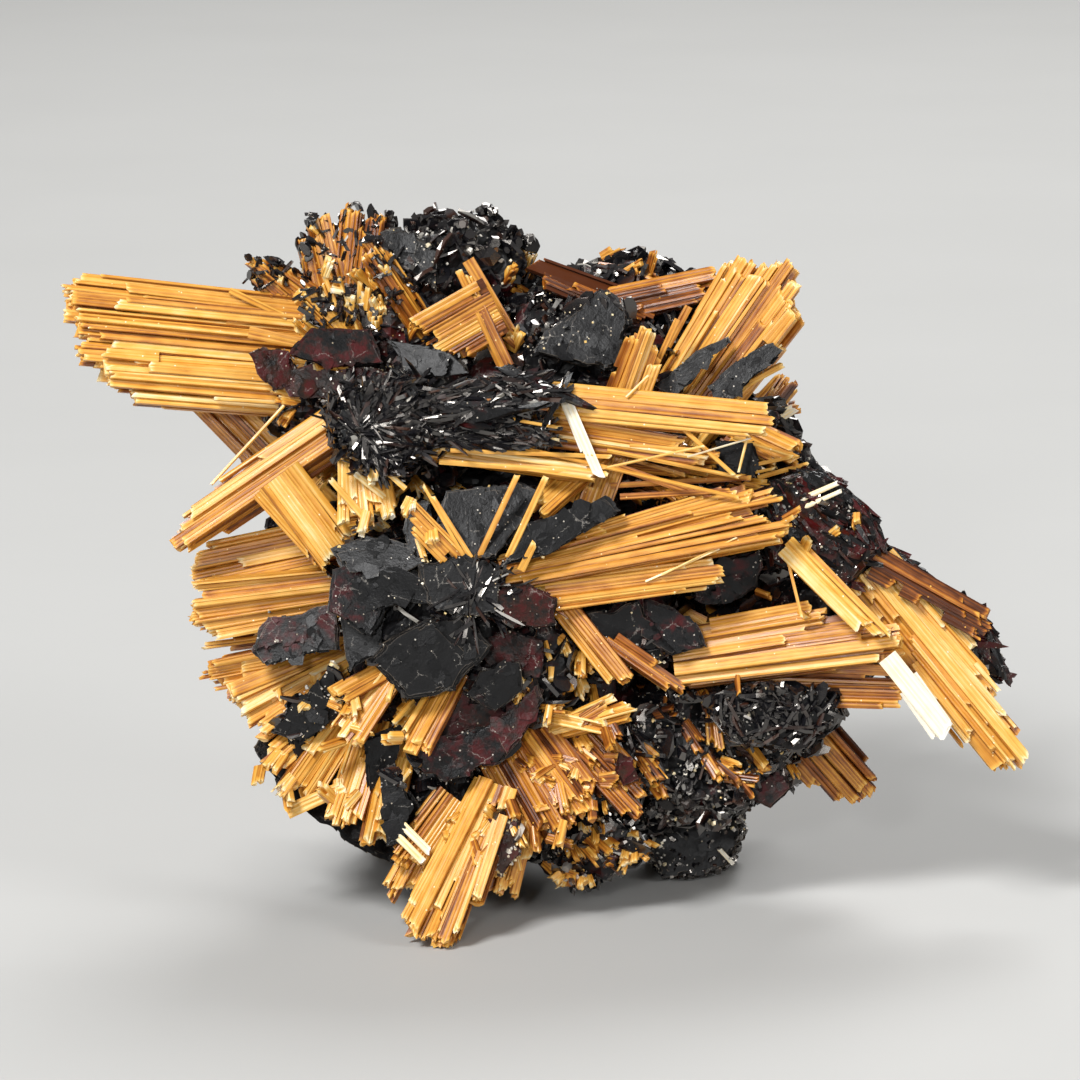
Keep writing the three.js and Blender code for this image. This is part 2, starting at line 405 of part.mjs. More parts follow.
// Rutile sheaves. Those of one entry overlap and are grown together.
const SHEAVES = {
  left_long: [
    laths([-11, 11.1, -1], [-30.1, 12.9, -3], [7, 7.8], 3, [
      0.7, 0, 0.2, 0.1, 0.9, 1.5, 1.2, 2.6, 3.2, 4.6,
    ], 14),
    laths([-14, 12.6, -3], [-22.4, 13.8, -3.9], [0.9, 1.1], 0.9, [0.5, 0], 20),
  ],
  left_rear: [laths([-13.8, 2.1, 1.6], [-21.4, 9.8, 1.8], [3.2, 3.2], 1.6, [0.5, 0, 0.3, 0.8, 0.2], -20)],
  left_diagonal: [
    laths([-12.4, 7.2, -5.6], [-23.3, -0.1, -6], [2.5, 2.4], 2.1, [3.4, 1.5, 0.3, 0, 0.6], 22),
  ],
  left_fan_upper: [
    laths([-11.6, 0, -3.2], [-21.9, -2.1, -3.8], [3.2, 3.3], 1.7, [1.4, 0.2, 0, 0.4, 0.9], 14),
    laths([-11, -2.9, -4.6], [-22, -4.5, -5.4], [2.6, 3.8], 2.2, [0.5, 0.9, 0.2, 0, 0, 1], -8),
  ],
  left_fan_lower: [
    laths([-12.4, -5.2, -3.4], [-22, -6.3, -4], [1.4, 1.7], 1.2, [0.3, 0, 0.6], 12),
    laths([-12.4, -6.9, -4], [-21.4, -8.6, -4.8], [2.2, 1.9], 1.3, [0.7, 0, 0.8], -14),
    laths([-12.4, -7.6, -4.2], [-18.7, -11.2, -5.4], [1.6, 5], 1.5, [0, 0.2, 0, 0.4, 0.6], 16),
  ],
  left_cross: [
    laths([-16, 3.6, -7.9], [-12.5, -1.1, -7.5], [2.6, 2.7], 0.9, [0, 0.3, 0.2, 0.6], -12),
    laths([-17.2, 2.6, -7.6], [-13.4, -1.7, -7.2], [1, 0.9], 0.7, [0.3, 0]),
  ],
  below_middle_rosette: [
    laths([-11.2, 5, -7.6], [-10.8, 0.8, -9], [2.4, 3.8], 1.1, [0.2, 1.3, 0, 0.9, 0.3], 10),
  ],
  centre_short: [laths([3.4, 5.2, -6.9], [-1.3, 0.8, -9.2], [2, 1.5], 0.8, [0.6, 0, 1.2], 24)],
  crossing_band: [laths([3.1, 2.6, -6.4], [7.1, 13.4, -7.2], [2.7, 2.6], 1.2, [1.6, 0.3, 0, 0.9], 12)],
  upper_right_fan: [
    laths([8.1, 6.7, -2.6], [15.6, 17.5, -4.2], [4.4, 6.8], 2.3, [
      4.4, 2.2, 1.9, 0.8, 0, 0.3, 1, 1.4, 1.1, 2,
    ], -18),
    laths([10.4, 8, -3.6], [17.7, 11.2, -5.2], [1.2, 2.6], 1.4, [0.5, 0, 0.3, 1.8], 20),
  ],
  level_band_low: [laths([-6.4, 5.5, -8.4], [4.4, 4, -9.6], [1.1, 1.3], 0.7, [0.8, 0, 0.5], -20)],
  level_band: [
    laths([-1.2, 8.7, -8.2], [14.6, 7.2, -9.2], [2, 1.9], 1, [1.3, 0.4, 0, 0.3], -10),
    laths([1.4, 9.2, -8.8], [3.6, 3.8, -10], [0.65, 0.7], 0.5, [0]),
    laths([0.3, 6.8, -7.9], [11.4, 5.2, -8.2], [1.9, 1.3], 0.9, [0.8, 0, 2.2], 14),
  ],
  right_large: [
    laths([-1.9, -2, -9.2], [15.4, 2.2, -8.4], [2, 4.6], 2.1, [0.6, 0, 1.2, 2.8, 1.6, 0.4, 1.6, 3.4], -16),
    laths([-0.4, -3.5, -9.2], [11.8, -1.9, -9], [2, 1.8], 1.1, [1.3, 0.4, 0, 0.5], 10),
  ],
  right_lower: [
    laths([9, -7.4, -5.6], [22.9, -5.3, -7.4], [3.4, 4.5], 2.2, [1, 0.2, 0, 0.4, 1.8, 3.4, 4.6, 5.5], -14),
    laths([12, -8.9, -5.2], [23.4, -9.3, -6], [2.4, 2.3], 1.8, [0.6, 0, 0.5], 10),
  ],
  right_diagonal: [
    laths([20.3, -2.7, -4.4], [30, -14.5, -5.2], [4.6, 6], 2.2, [
      6.9, 6.2, 3.4, 0.9, 0.4, 0, 1.6, 4.4, 5.6,
    ], -18),
  ],
  right_bright_laths: [laths([15.4, -0.3, -7.2], [21.6, -6.6, -9.4], [1.6, 1.7], 0.6, [1.5, 0.7, 0])],
  pale_blade_lower: [laths([21.9, -7.5, -7.3], [25.2, -12.2, -8], [1.3, 1.5], 0.5, [0, 0.5])],
  right_low_amber: [
    laths([14.8, -10.2, -0.6], [20.2, -16.4, 0.2], [3.8, 3.8], 2, [2.6, 1, 0.3, 0, 0.5], 24),
  ],
  centre_lower: [
    laths([1.7, -4.4, -8.2], [5.5, -9.2, -9.6], [1.5, 1.6], 0.8, [0.8, 0.2, 0], 20),
    laths([2.2, -4.6, -8], [9.2, -9.4, -8.6], [1.2, 1.6], 0.8, [0.5, 0, 0.3], -16),
  ],
  pale_fan: [
    laths([1.4, -11.6, -7.4], [6.3, -9.9, -9.6], [0.9, 2.4], 0.9, [0.8, 0.2, 0, 0.2, 1.4], -14),
    laths([0.4, -11, -7.4], [4.6, -11.9, -9.4], [0.8, 0.7], 0.8, [0, 0.4]),
  ],
  lower_field: [
    laths([-2.6, -13.2, -6.4], [0.6, -19, -8], [2.5, 2.8], 1.8, [1.2, 0, 0.8, 0.2], 22),
    laths([-0.6, -12.4, -6.6], [3, -17.4, -8.4], [2.6, 2.8], 1.8, [0, 0.5, 0.2, 0.9]),
    laths([1.8, -11.9, -6.2], [6.6, -17, -7.6], [2.4, 2.8], 1.8, [0.4, 0, 0.6, 1.4], -22),
  ],
  bottom_fan: [
    laths([-3, -16, -7.6], [-7.1, -25.3, -11.9], [2.4, 4.7], 2.2, [
      0.9, 0.5, 0.2, 0, 0.1, 0.2, 0.8, 3.4,
    ], 12),
  ],
  bottom_short: [laths([-1.4, -18.2, -6.4], [-2.6, -22.3, -7.4], [1.8, 2.6], 1.2, [0.9, 0, 0.5, 0.2], -24)],
  bottom_left_short: [
    laths([-7, -18.4, -7.4], [-9.2, -22.6, -8], [1.6, 2.2], 1.1, [0.5, 0, 0.8], 22),
    laths([-6, -16.4, -7.8], [-8.8, -20.4, -9], [1.8, 2.4], 1.1, [0.2, 0, 0.6], -14),
  ],
  lower_left_field: [
    laths([-13.2, -10.4, -4.4], [-17.7, -14, -6], [2, 2.4], 1.4, [0.7, 0, 0.9], 24),
    laths([-12.2, -11.4, -5.2], [-15.4, -16.2, -6.8], [2, 2.6], 1.6, [0, 0.6, 0.2], -14),
    laths([-10.4, -12, -5.6], [-12.4, -18.2, -8], [2.2, 2.6], 1.6, [0.4, 0, 0.9], 22),
    laths([-8.8, -13, -6.4], [-10.2, -19.5, -8.6], [2, 2.2], 1.4, [0.3, 0.9, 0], -20),
  ],
  under_rosette_left: [
    laths([-9, -7.8, -7.6], [-12.4, -12.6, -8.8], [1.6, 2.4], 1.2, [0.4, 0, 0.9, 0.2], 14),
    laths([-9, -7.8, -7.6], [-13, -10, -8.6], [1.4, 1.6], 1, [0, 0.5], 14),
  ],
  under_rosette_right: [laths([-5.6, -8.8, -8.8], [-8.2, -13.4, -10.6], [1.6, 2.2], 1, [0.6, 0, 0.4], 16)],
  upper_left_orange: [laths([-7.8, 14.2, -3.6], [-10.8, 18.8, -5.4], [1.4, 1.5], 0.9, [0.7, 0, 0.3], 26)],
  comb: [
    laths([-2.4, 11.3, -5.6], [-5.2, 17.1, -6.2], [1.1, 1.1], 0.9, [0.4, 0]),
    laths([-3.6, 14.2, -5.9], [-7.4, 12, -6.4], [3.8, 4], 0.8, [0, 0.4, 0.9, 0.3, 0.8, 1.6], -12),
  ],
  upper_left_pale: [
    laths([-11.6, 12.2, -4.2], [-15, 15.7, -5.8], [1.9, 2], 1, [0.9, 0, 0.4, 1], 20),
    laths([-11.6, 12.2, -4.4], [-13.4, 16.8, -5.6], [1.4, 1.6], 0.9, [0.3, 0, 0.6], -18),
  ],
  top_left_prisms: [
    laths([-12.6, 14.4, -0.5], [-14, 20.4, -0.8], [2.6, 3], 1.8, [1, 0, 1.2], 18),
    laths([-11.6, 14.6, -0.6], [-10.8, 20.9, -1], [2.4, 3], 1.6, [0.4, 1.2, 0], -20),
    laths([-13, 13.4, -0.6], [-18.3, 17.6, -1.4], [3, 1.4], 2, [1.4, 0, 0.8], 12),
  ],
  top_band: [
    laths([4, 14.6, -1.6], [12.4, 16.4, -2.4], [2.4, 2], 1.6, [0.8, 0, 1.2], -24),
    laths([6, 14.6, -1.8], [-0.6, 17.2, -2.2], [2, 1.4], 1.4, [0.4, 0, 1], 20),
  ],
  right_top_short: [laths([11.6, 7.2, -3.6], [16.2, 5, -5], [2, 2.4], 1.3, [0.9, 0, 0.6, 0.2], -18)],
  ridge_prism: [laths([20.6, -1.4, -5], [28.3, -5.7, -5], [1.9, 1.8], 1.6, [0.4, 0, 0.3])],
  rosette_blade: [laths([-5.3, -1.2, -11], [-8.9, 2.5, -11.3], [1.5, 1.5], 0.8, [0, 0.4, 1.2])],
  rear_left: [
    laths([-7, 6.4, 8], [-19, 12.6, 14], [3, 4.6], 1.9, [0.6, 0, 1.4, 0.3, 1.9], 30),
    laths([-7, 6.4, 8], [-18.4, 4.4, 13.4], [3, 3.6], 1.7, [1.2, 0, 0.6, 0.2], -30),
  ],
  rear_up: [laths([2, 6, 11], [7, 15.6, 17], [3, 5], 1.9, [1.1, 0, 0.6, 1.8, 0.4], -34)],
  rear_right: [laths([6, 1, 12], [15.2, 4, 19.4], [2.6, 4.2], 1.7, [0.4, 0, 1.5, 0.6], 48)],
  rear_low_right: [laths([6, -5, 11], [14.6, -10.6, 16.6], [3, 4.6], 1.9, [0.8, 0, 0.4, 1.4, 2.2], -38)],
  rear_low_left: [laths([-5, -3, 12], [-14.6, -7.8, 17.6], [3, 4.8], 1.9, [1.6, 0.3, 0, 0.8, 0.2], 40)],
  rear_centre: [laths([-2, 2.4, 14], [-9.4, 3.6, 21], [2, 3.2], 1.5, [0.5, 0, 0.9, 0.3], -50)],
};

// Finishes
const finish = (color, roughness, metalness) => () =>
  new THREE.MeshStandardMaterial({ color, roughness, metalness });
const HEMATITE = finish(0x2e2e31, 0.4, 0.6);
const RED_HEMATITE = finish(0x3d1d1c, 0.35, 0.3);
const GOLD = finish(0xd9973a, 0.35, 0.2);
const PALE = finish(0xf0d9a8, 0.25, 0.2);
const AMBER = finish(0xa85a1c, 0.35, 0.2);

const FINISHES = {
  lower_red_plate: RED_HEMATITE,
  right_ridge: RED_HEMATITE,
  upper_left_plates: RED_HEMATITE,
  pale_blade_lower: PALE,
  pale_fan: PALE,
  right_bright_laths: PALE,
  upper_left_pale: PALE,
  left_rear: AMBER,
  right_low_amber: AMBER,
  lower_field: AMBER,
  comb: AMBER,
  upper_left_orange: AMBER,
  top_left_prisms: AMBER,
  top_band: AMBER,
  ridge_prism: AMBER,
};

// The floor that the feet stand on, as a block to trim them with.
const floorBlock = hullOf(
  [-1, 1].flatMap((x) =>
    [-1, 1].flatMap((y) =>
      [0, -1].map((z) => new THREE.Vector3(x, y, z).multiplyScalar(FLOOR_SIZE)),
    ),
  ),
);

// A mesh of a solid, with its geometry about its own centre and its place in the mesh's position.
function meshOf(name, solid, material) {
  const { numProp, vertProperties, triVerts } = solid.getMesh();
  const positions = new Float32Array((vertProperties.length / numProp) * 3);
  for (let i = 0; i < positions.length / 3; i++)
    positions.set(vertProperties.subarray(i * numProp, i * numProp + 3), i * 3);
  const geometry = new THREE.BufferGeometry()
    .setAttribute("position", new THREE.BufferAttribute(positions, 3))
    .setIndex(new THREE.BufferAttribute(triVerts, 1));
  geometry.computeBoundingBox();
  const centre = geometry.boundingBox.getCenter(new THREE.Vector3());
  geometry.translate(-centre.x, -centre.y, -centre.z).computeVertexNormals();
  const mesh = new THREE.Mesh(geometry, material);
  mesh.name = name;
  mesh.position.copy(centre);
  return mesh;
}

// Plates stay whole. Sheaves make room for the plates and for the sheaves before them, and the body for
// them all.
const specimen = new THREE.Group();
const clearances = [];

function place(name, solid, material) {
  const fitted = clearances.reduce((left, taken) => left.subtract(taken), solid).subtract(floorBlock);
  specimen.add(meshOf(name, largest(fitted), material()));
}

for (const [name, leaves] of Object.entries(PLATES)) {
  place("hematite_" + name, join(leaves.map((plate) => plateSolid(plate))), FINISHES[name] ?? HEMATITE);
  clearances.push(join(leaves.map((plate) => plateSolid(plate, FIT_GAP))));
}
for (const [name, sheaves] of Object.entries(SHEAVES)) {
  place("rutile_" + name, join(sheaves.map(sheafSolid)), FINISHES[name] ?? GOLD);
  clearances.push(hullOf(sheaves.flatMap(slabCorners)));
}
const grown = [
  ...BLOCKS.map(blockSolid),
  ...DRUSES.flatMap(druseTablets),
  ...BODY_PLATES.map((plate) => plateSolid(plate)),
];
place("hematite_body", join(grown), HEMATITE);

export default specimen;
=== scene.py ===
"""Rutile in matrix: sheaves of golden rutile laths that grow out of black hematite plates, on a drusy
hematite body.

Places in the tables are millimetres as seen from the front: across to the right of the middle, up, and
back from the middle. Meshes are in metres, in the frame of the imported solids.
"""
import logging
import math
from collections.abc import Iterator, Sequence
from dataclasses import dataclass, field, replace
from enum import Enum
from typing import ClassVar

import bpy
import numpy as np
from mathutils import Matrix, Vector
from mathutils.bvhtree import BVHTree


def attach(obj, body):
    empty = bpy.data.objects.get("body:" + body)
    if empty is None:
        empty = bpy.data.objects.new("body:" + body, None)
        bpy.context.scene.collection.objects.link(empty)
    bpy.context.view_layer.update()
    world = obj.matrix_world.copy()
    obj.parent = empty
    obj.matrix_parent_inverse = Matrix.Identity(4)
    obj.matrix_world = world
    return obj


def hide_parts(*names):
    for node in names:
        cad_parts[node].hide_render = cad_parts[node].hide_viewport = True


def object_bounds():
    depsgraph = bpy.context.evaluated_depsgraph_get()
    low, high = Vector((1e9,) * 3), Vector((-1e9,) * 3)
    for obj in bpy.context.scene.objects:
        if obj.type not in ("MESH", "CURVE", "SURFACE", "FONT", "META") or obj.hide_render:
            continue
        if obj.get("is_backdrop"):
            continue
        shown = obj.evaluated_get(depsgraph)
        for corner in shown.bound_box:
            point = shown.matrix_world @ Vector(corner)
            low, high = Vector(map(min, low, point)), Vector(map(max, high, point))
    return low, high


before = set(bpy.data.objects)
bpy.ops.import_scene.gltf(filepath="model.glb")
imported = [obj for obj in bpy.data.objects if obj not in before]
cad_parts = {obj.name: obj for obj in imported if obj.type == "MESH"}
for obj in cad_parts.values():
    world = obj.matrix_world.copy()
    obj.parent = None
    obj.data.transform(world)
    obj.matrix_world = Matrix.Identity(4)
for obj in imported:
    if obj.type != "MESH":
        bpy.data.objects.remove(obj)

CAD_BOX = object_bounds()
BOX_LOW, BOX_HIGH = (np.array(corner) for corner in CAD_BOX)
LOG = logging.getLogger("rutile")

MM = 0.001  # in metres
NUDGE = 1e-3  # a distance in millimetres that makes no difference
EYE_DISTANCE = 375.0  # from the eye to the point that it looks at
EYE_TILT = math.radians(12)  # how far the eye looks down
MIDDLE = np.array([-0.2, -2.2, 21.75])  # the point that the eye looks at
SIDEWAYS = np.array([1.0, 0.0, 0.0])
LOOK = np.array([0.0, math.cos(EYE_TILT), -math.sin(EYE_TILT)])
UPWARD = np.array([0.0, math.sin(EYE_TILT), math.cos(EYE_TILT)])
LENS = 200.0
SENSOR = 36.0  # how wide the picture is behind the lens

FIT_GAP = 0.3  # left between packed crystals
PLATE_BEVEL = 0.12  # how far a plate's front face stops short of its rim, as a share of its reach
TIP_THINNING = 0.2  # how much thinner a sheaf is at its tip than at its root

Places = np.ndarray
Pair = tuple[float, float]
Place = tuple[float, float, float]


class Slot(Enum):
    """The material slots of the record."""

    HEMATITE = "hematite"
    HEMATITE_RED = "hematite_red"
    GOLD = "rutile_gold"
    PALE = "rutile_pale"
    AMBER = "rutile_amber"


class Side(Enum):
    """Which way a scatter of small crystals looks."""

    FRONT = "front"
    BACK = "back"


def seen(places: Places | Place) -> Places:
    """Turn places as seen from the front into places in the specimen's own frame.

    Args:
        places: one place or rows of them, each across, up and back, in millimetres.

    Returns:
        The same number of rows of x, y and z in millimetres.
    """
    rows = np.asarray(places, dtype=float)
    across, up, back = rows[..., 0:1], rows[..., 1:2], rows[..., 2:3]
    spread = 1 + back / EYE_DISTANCE
    return MIDDLE + SIDEWAYS * across * spread + UPWARD * up * spread + LOOK * back


def unit(vectors: Places) -> Places:
    """Scale vectors to a length of one.

    Args:
        vectors: one vector or rows of them.

    Returns:
        The scaled vectors.
    """
    return vectors / np.maximum(np.linalg.norm(vectors, axis=-1, keepdims=True), 1e-12)


def lattice_noise(points: Places, seed: int) -> np.ndarray:
    """Smooth noise from 0 to 1 at points, the same each time for a seed.

    Args:
        points: rows of three numbers, one unit of them to a bump.
        seed: which noise.

    Returns:
        One number for each row.
    """
    cell = np.floor(points).astype(np.int64)
    part = points - cell
    part = part * part * (3 - 2 * part)
    total = np.zeros(len(points))
    for corner in range(8):
        step = np.array([corner & 1, (corner >> 1) & 1, (corner >> 2) & 1])
        at = cell + step
        mixed = (at[:, 0] * 374761393 + at[:, 1] * 668265263 + at[:, 2] * 2147483647 + seed * 1274126177)
        mixed = (mixed ^ (mixed >> 13)) * 1274126177
        value = ((mixed ^ (mixed >> 16)) & 0xFFFF) / 0xFFFF
        weight = np.prod(np.where(step, part, 1 - part), axis=1)
        total += value * weight
    return total


def noise_at(place: Sequence[float], seed: int) -> float:
    """The smooth noise at a single place."""
    return lattice_noise(np.array([place]), seed)[0]


def signed_area(outline: Places) -> float:
    """An outline's area as seen, below zero where its corners run clockwise."""
    xs, ys = outline.T
    return 0.5 * float(np.sum(xs * np.roll(ys, -1) - np.roll(xs, -1) * ys))


def prism_faces(sides: int) -> list[list[int]]:
    """The faces of a prism whose lower corners all come before its upper ones.

    Args:
        sides: how many sides it has.

    Returns:
        Its sides in turn, then its lower and its upper end.
    """
    faces = [[k, (k + 1) % sides, sides + (k + 1) % sides, sides + k] for k in range(sides)]
    return faces + [list(range(sides))[::-1], list(range(sides, 2 * sides))]


class Solid:
    """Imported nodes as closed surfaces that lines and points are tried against, in millimetres."""

    BEYOND = 60.0
    MOST_CROSSINGS = 24

    def __init__(self, names: Sequence[str]) -> None:
        """Gather the nodes' triangles.

        Args:
            names: the nodes to gather.
        """
        corners, triangles = [], []
        for name in names:
            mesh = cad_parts[name].data
            mesh.calc_loop_triangles()
            start = len(corners)
            corners.extend([vertex.co / MM for vertex in mesh.vertices])
            triangles.extend([[start + k for k in t.vertices] for t in mesh.loop_triangles])
        self.corners = np.array(corners)
        self.triangles = np.array(triangles)
        self.tree = BVHTree.FromPolygons([Vector(c) for c in corners], triangles)

    def spans(self, start: Places, end: Places) -> list[Pair]:
        """The stretches of a line that lie inside.

        Args:
            start: where the line starts.
            end: where it ends.

        Returns:
            The distance from the start of the line to where each stretch begins and ends.
        """
        length = float(np.linalg.norm(end - start))
        way = Vector((end - start) / length)
        at, entered, found = 0.0, None, []
        for _ in range(self.MOST_CROSSINGS):
            hit = self.tree.ray_cast(Vector(start) + way * at, way, length - at)
            if hit[0] is None:
                break
            distance = at + hit[3]
            if hit[1].dot(way) < 0:
                entered = distance
            elif entered is not None:
                found.append((entered, distance))
                entered = None
            at = distance + NUDGE
        return found

    def depth(self, across: float, up: float, side: Side) -> float | None:
        """How far back the surface lies that is seen at a place.

        Args:
            across: to the right of the middle.
            up: above it.
            side: whether it is seen from the front or from the back.

        Returns:
            The depth, or None where nothing is seen.
        """
        ends = seen([(across, up, -self.BEYOND), (across, up, self.BEYOND)])
        start, end = ends if side is Side.FRONT else ends[::-1]
        hit = self.tree.ray_cast(Vector(start), Vector(unit(end - start)))
        if hit[0] is None:
            return None
        return float(np.dot(np.array(hit[0]) - MIDDLE, LOOK))

    def sample(self, count: int, rng: np.random.Generator) -> tuple[Places, Places]:
        """Points spread over the surface, each part of it as likely as its area.

        Args:
            count: how many.
            rng: where the draws come from.

        Returns:
            The points and the surface's direction at each.
        """
        a, b, c = (self.corners[self.triangles[:, k]] for k in range(3))
        cross = np.cross(b - a, c - a)
        area = np.linalg.norm(cross, axis=1)
        picked = rng.choice(len(area), size=count, p=area / area.sum())
        u, v = rng.random((2, count, 1))
        flip = u + v > 1
        u, v = np.where(flip, 1 - u, u), np.where(flip, 1 - v, v)
        return a[picked] + u * (b - a)[picked] + v * (c - a)[picked], unit(cross[picked])


@dataclass
class Facets:
    """The corners and faces of one piece as it grows, with a tone and a grain place at each corner."""

    points: list[Places] = field(default_factory=list)
    faces: list[Sequence[int]] = field(default_factory=list)
    tones: list[np.ndarray] = field(default_factory=list)
    grains: list[Places] = field(default_factory=list)
    count: int = 0

    def add(
        self, points: Places, faces: Sequence[Sequence[int]], tone: np.ndarray | float, grain: Places
    ) -> None:
        """Add a closed form.

        Args:
            points: its corners in millimetres.
            faces: its faces, as indices into the corners.
            tone: how light it is, from 0 to 1, for all of it or at each corner.
            grain: across the grain, along it from the tip, and a number of its own, at each corner.
        """
        self.points.append(points)
        self.faces.extend([[k + self.count for k in face] for face in faces])
        self.tones.append(np.broadcast_to(tone, len(points)))
        self.grains.append(np.broadcast_to(grain, (len(points), 3)))
        self.count += len(points)

    def inside(self, points: Places) -> bool:
        """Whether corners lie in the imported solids' box."""
        return bool((points > BOX_LOW / MM - NUDGE).all() and (points < BOX_HIGH / MM + NUDGE).all())

    def piece(self, name: str, material: bpy.types.Material) -> bpy.types.Object:
        """Make the object.

        Args:
            name: its name.
            material: its finish.

        Returns:
            The object, with its tone and grain attributes.
        """
        places = np.clip(np.concatenate(self.points) * MM, BOX_LOW, BOX_HIGH)
        mesh = bpy.data.meshes.new(name)
        mesh.from_pydata(places.tolist(), [], self.faces)
        tone = mesh.attributes.new("tone", "FLOAT", "POINT")
        tone.data.foreach_set("value", np.concatenate(self.tones).astype(np.float32))
        grain = mesh.attributes.new("grain", "FLOAT_VECTOR", "POINT")
        grain.data.foreach_set("vector", np.concatenate(self.grains).astype(np.float32).ravel())
        mesh.materials.append(material)
        mesh.update()
        piece = bpy.data.objects.new(name, mesh)
        bpy.context.scene.collection.objects.link(piece)
        return piece


def settle(piece: bpy.types.Object, slot: Slot, replaced: Sequence[str] = ()) -> None:
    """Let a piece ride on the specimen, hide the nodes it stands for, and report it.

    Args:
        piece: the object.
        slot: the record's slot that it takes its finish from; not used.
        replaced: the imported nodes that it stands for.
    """
    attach(piece, "root")
    if replaced:
        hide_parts(*replaced)
    LOG.info("%s: %d faces", piece.name, len(piece.data.polygons))


class NodeTree:
    """A node tree with short ways to add and join nodes."""

    def __init__(self, tree: bpy.types.NodeTree) -> None:
        """Hold the tree that nodes are added to."""
        self.tree = tree

    def feed(self, node: bpy.types.Node, key: str | int, value: object) -> None:
        """Join a socket to a node's input, or set the input's own value.

        Args:
            node: the node.
            key: the input's name or number.
            value: the socket or the value.
        """
        if isinstance(value, bpy.types.NodeSocket):
            self.tree.links.new(value, node.inputs[key])
        else:
            node.inputs[key].default_value = value

    def add(
        self, kind: str, inputs: dict[str | int, object] | None = None, **settings: object
    ) -> bpy.types.Node:
        """Add a node.

        Args:
            kind: its type's name without ShaderNode.
            inputs: values or sockets for its inputs.
            **settings: its own settings.

        Returns:
            The node.
        """
        node = self.tree.nodes.new("ShaderNode" + kind)
        for key, value in settings.items():
            setattr(node, key, value)
        for key, value in (inputs or {}).items():
            self.feed(node, key, value)
        return node

    def finish(self, values: dict[str, object]) -> None:
        """Feed the inputs of a material's own shader by their names."""
        for name, value in values.items():
            self.feed(self.tree.nodes["Principled BSDF"], name, value)

    def math(self, operation: str, a: object, b: object = 0.0, clamp: bool = False) -> bpy.types.NodeSocket:
        """Work out one number from one or two others and return its socket."""
        node = self.add("Math", {0: a, 1: b}, operation=operation, use_clamp=clamp)
        return node.outputs[0]

    def mix(self, share: object, a: object, b: object) -> bpy.types.NodeSocket:
        """Mix two colours and return the colour's socket."""
        return self.add("Mix", {0: share, 6: a, 7: b}, data_type="RGBA").outputs[2]

    def ramp(self, share: object, stops: Sequence[tuple[float, tuple[float, ...]]]) -> bpy.types.NodeSocket:
        """Turn a number into a colour.

        Args:
            share: the number from 0 to 1.
            stops: places on the ramp with their colours.

        Returns:
            The colour's socket.
        """
        node = self.add("ValToRGB", {0: share})
        elements = node.color_ramp.elements
        for position, _ in stops[2:]:
            elements.new(position)
        for element, (position, colour) in zip(elements, stops):
            element.position = position
            element.color = (*colour, 1.0)
        return node.outputs[0]

    def step(self, value: object, low: float, high: float) -> bpy.types.NodeSocket:
        """Rise smoothly from 0 to 1 as a value goes from low to high and return the socket."""
        inputs = {0: value, 1: low, 2: high, 3: 0.0, 4: 1.0}
        return self.add("MapRange", inputs, interpolation_type="SMOOTHSTEP").outputs[0]


def start_material(name: str) -> tuple[bpy.types.Material, NodeTree]:
    """Start a material.

    Args:
        name: its name.

    Returns:
        The material and its node tree.
    """
    material = bpy.data.materials.new(name)
    material.use_nodes = True
    return material, NodeTree(material.node_tree)


def socket_group(name: str, inputs: dict[str, float], outputs: dict[str, str]) -> tuple[NodeTree, dict, dict]:
    """Start a shader node group with named sockets.

    Args:
        name: the group's name.
        inputs: its number inputs with their usual values.
        outputs: its outputs with their socket types.

    Returns:
        The tree, its inputs' sockets by name and its output node's inputs by name.
    """
    group = bpy.data.node_groups.new(name, "ShaderNodeTree")
    for label, value in inputs.items():
        socket = group.interface.new_socket(label, in_out="INPUT", socket_type="NodeSocketFloat")
        socket.default_value = value
    for label, kind in outputs.items():
        group.interface.new_socket(label, in_out="OUTPUT", socket_type=kind)
    source, sink = group.nodes.new("NodeGroupInput"), group.nodes.new("NodeGroupOutput")
    given, out = ({s.name: s for s in sockets if s.name} for sockets in (source.outputs, sink.inputs))
    return NodeTree(group), given, out


@dataclass(frozen=True)
class SharedEffects:
    """Shader node groups that several finishes use."""

    striation: bpy.types.NodeTree
    relief: bpy.types.NodeTree
    specks: bpy.types.NodeTree

    @staticmethod
    def build() -> "SharedEffects":
        """Make the groups once."""
        return SharedEffects(striation_group(), relief_group(), specks_group())

    def place(
        self, tree: NodeTree, group: bpy.types.NodeTree, **values: object
    ) -> dict[str, bpy.types.NodeSocket]:
        """Place a group in a material.

        Args:
            tree: the material's tree.
            group: the group.
            **values: values for its inputs, with _ for a space.

        Returns:
            Its outputs by name.
        """
        node = tree.tree.nodes.new("ShaderNodeGroup")
        node.node_tree = group
        for key, value in values.items():
            node.inputs[key.replace("_", " ")].default_value = value
        return {socket.name: socket for socket in node.outputs}


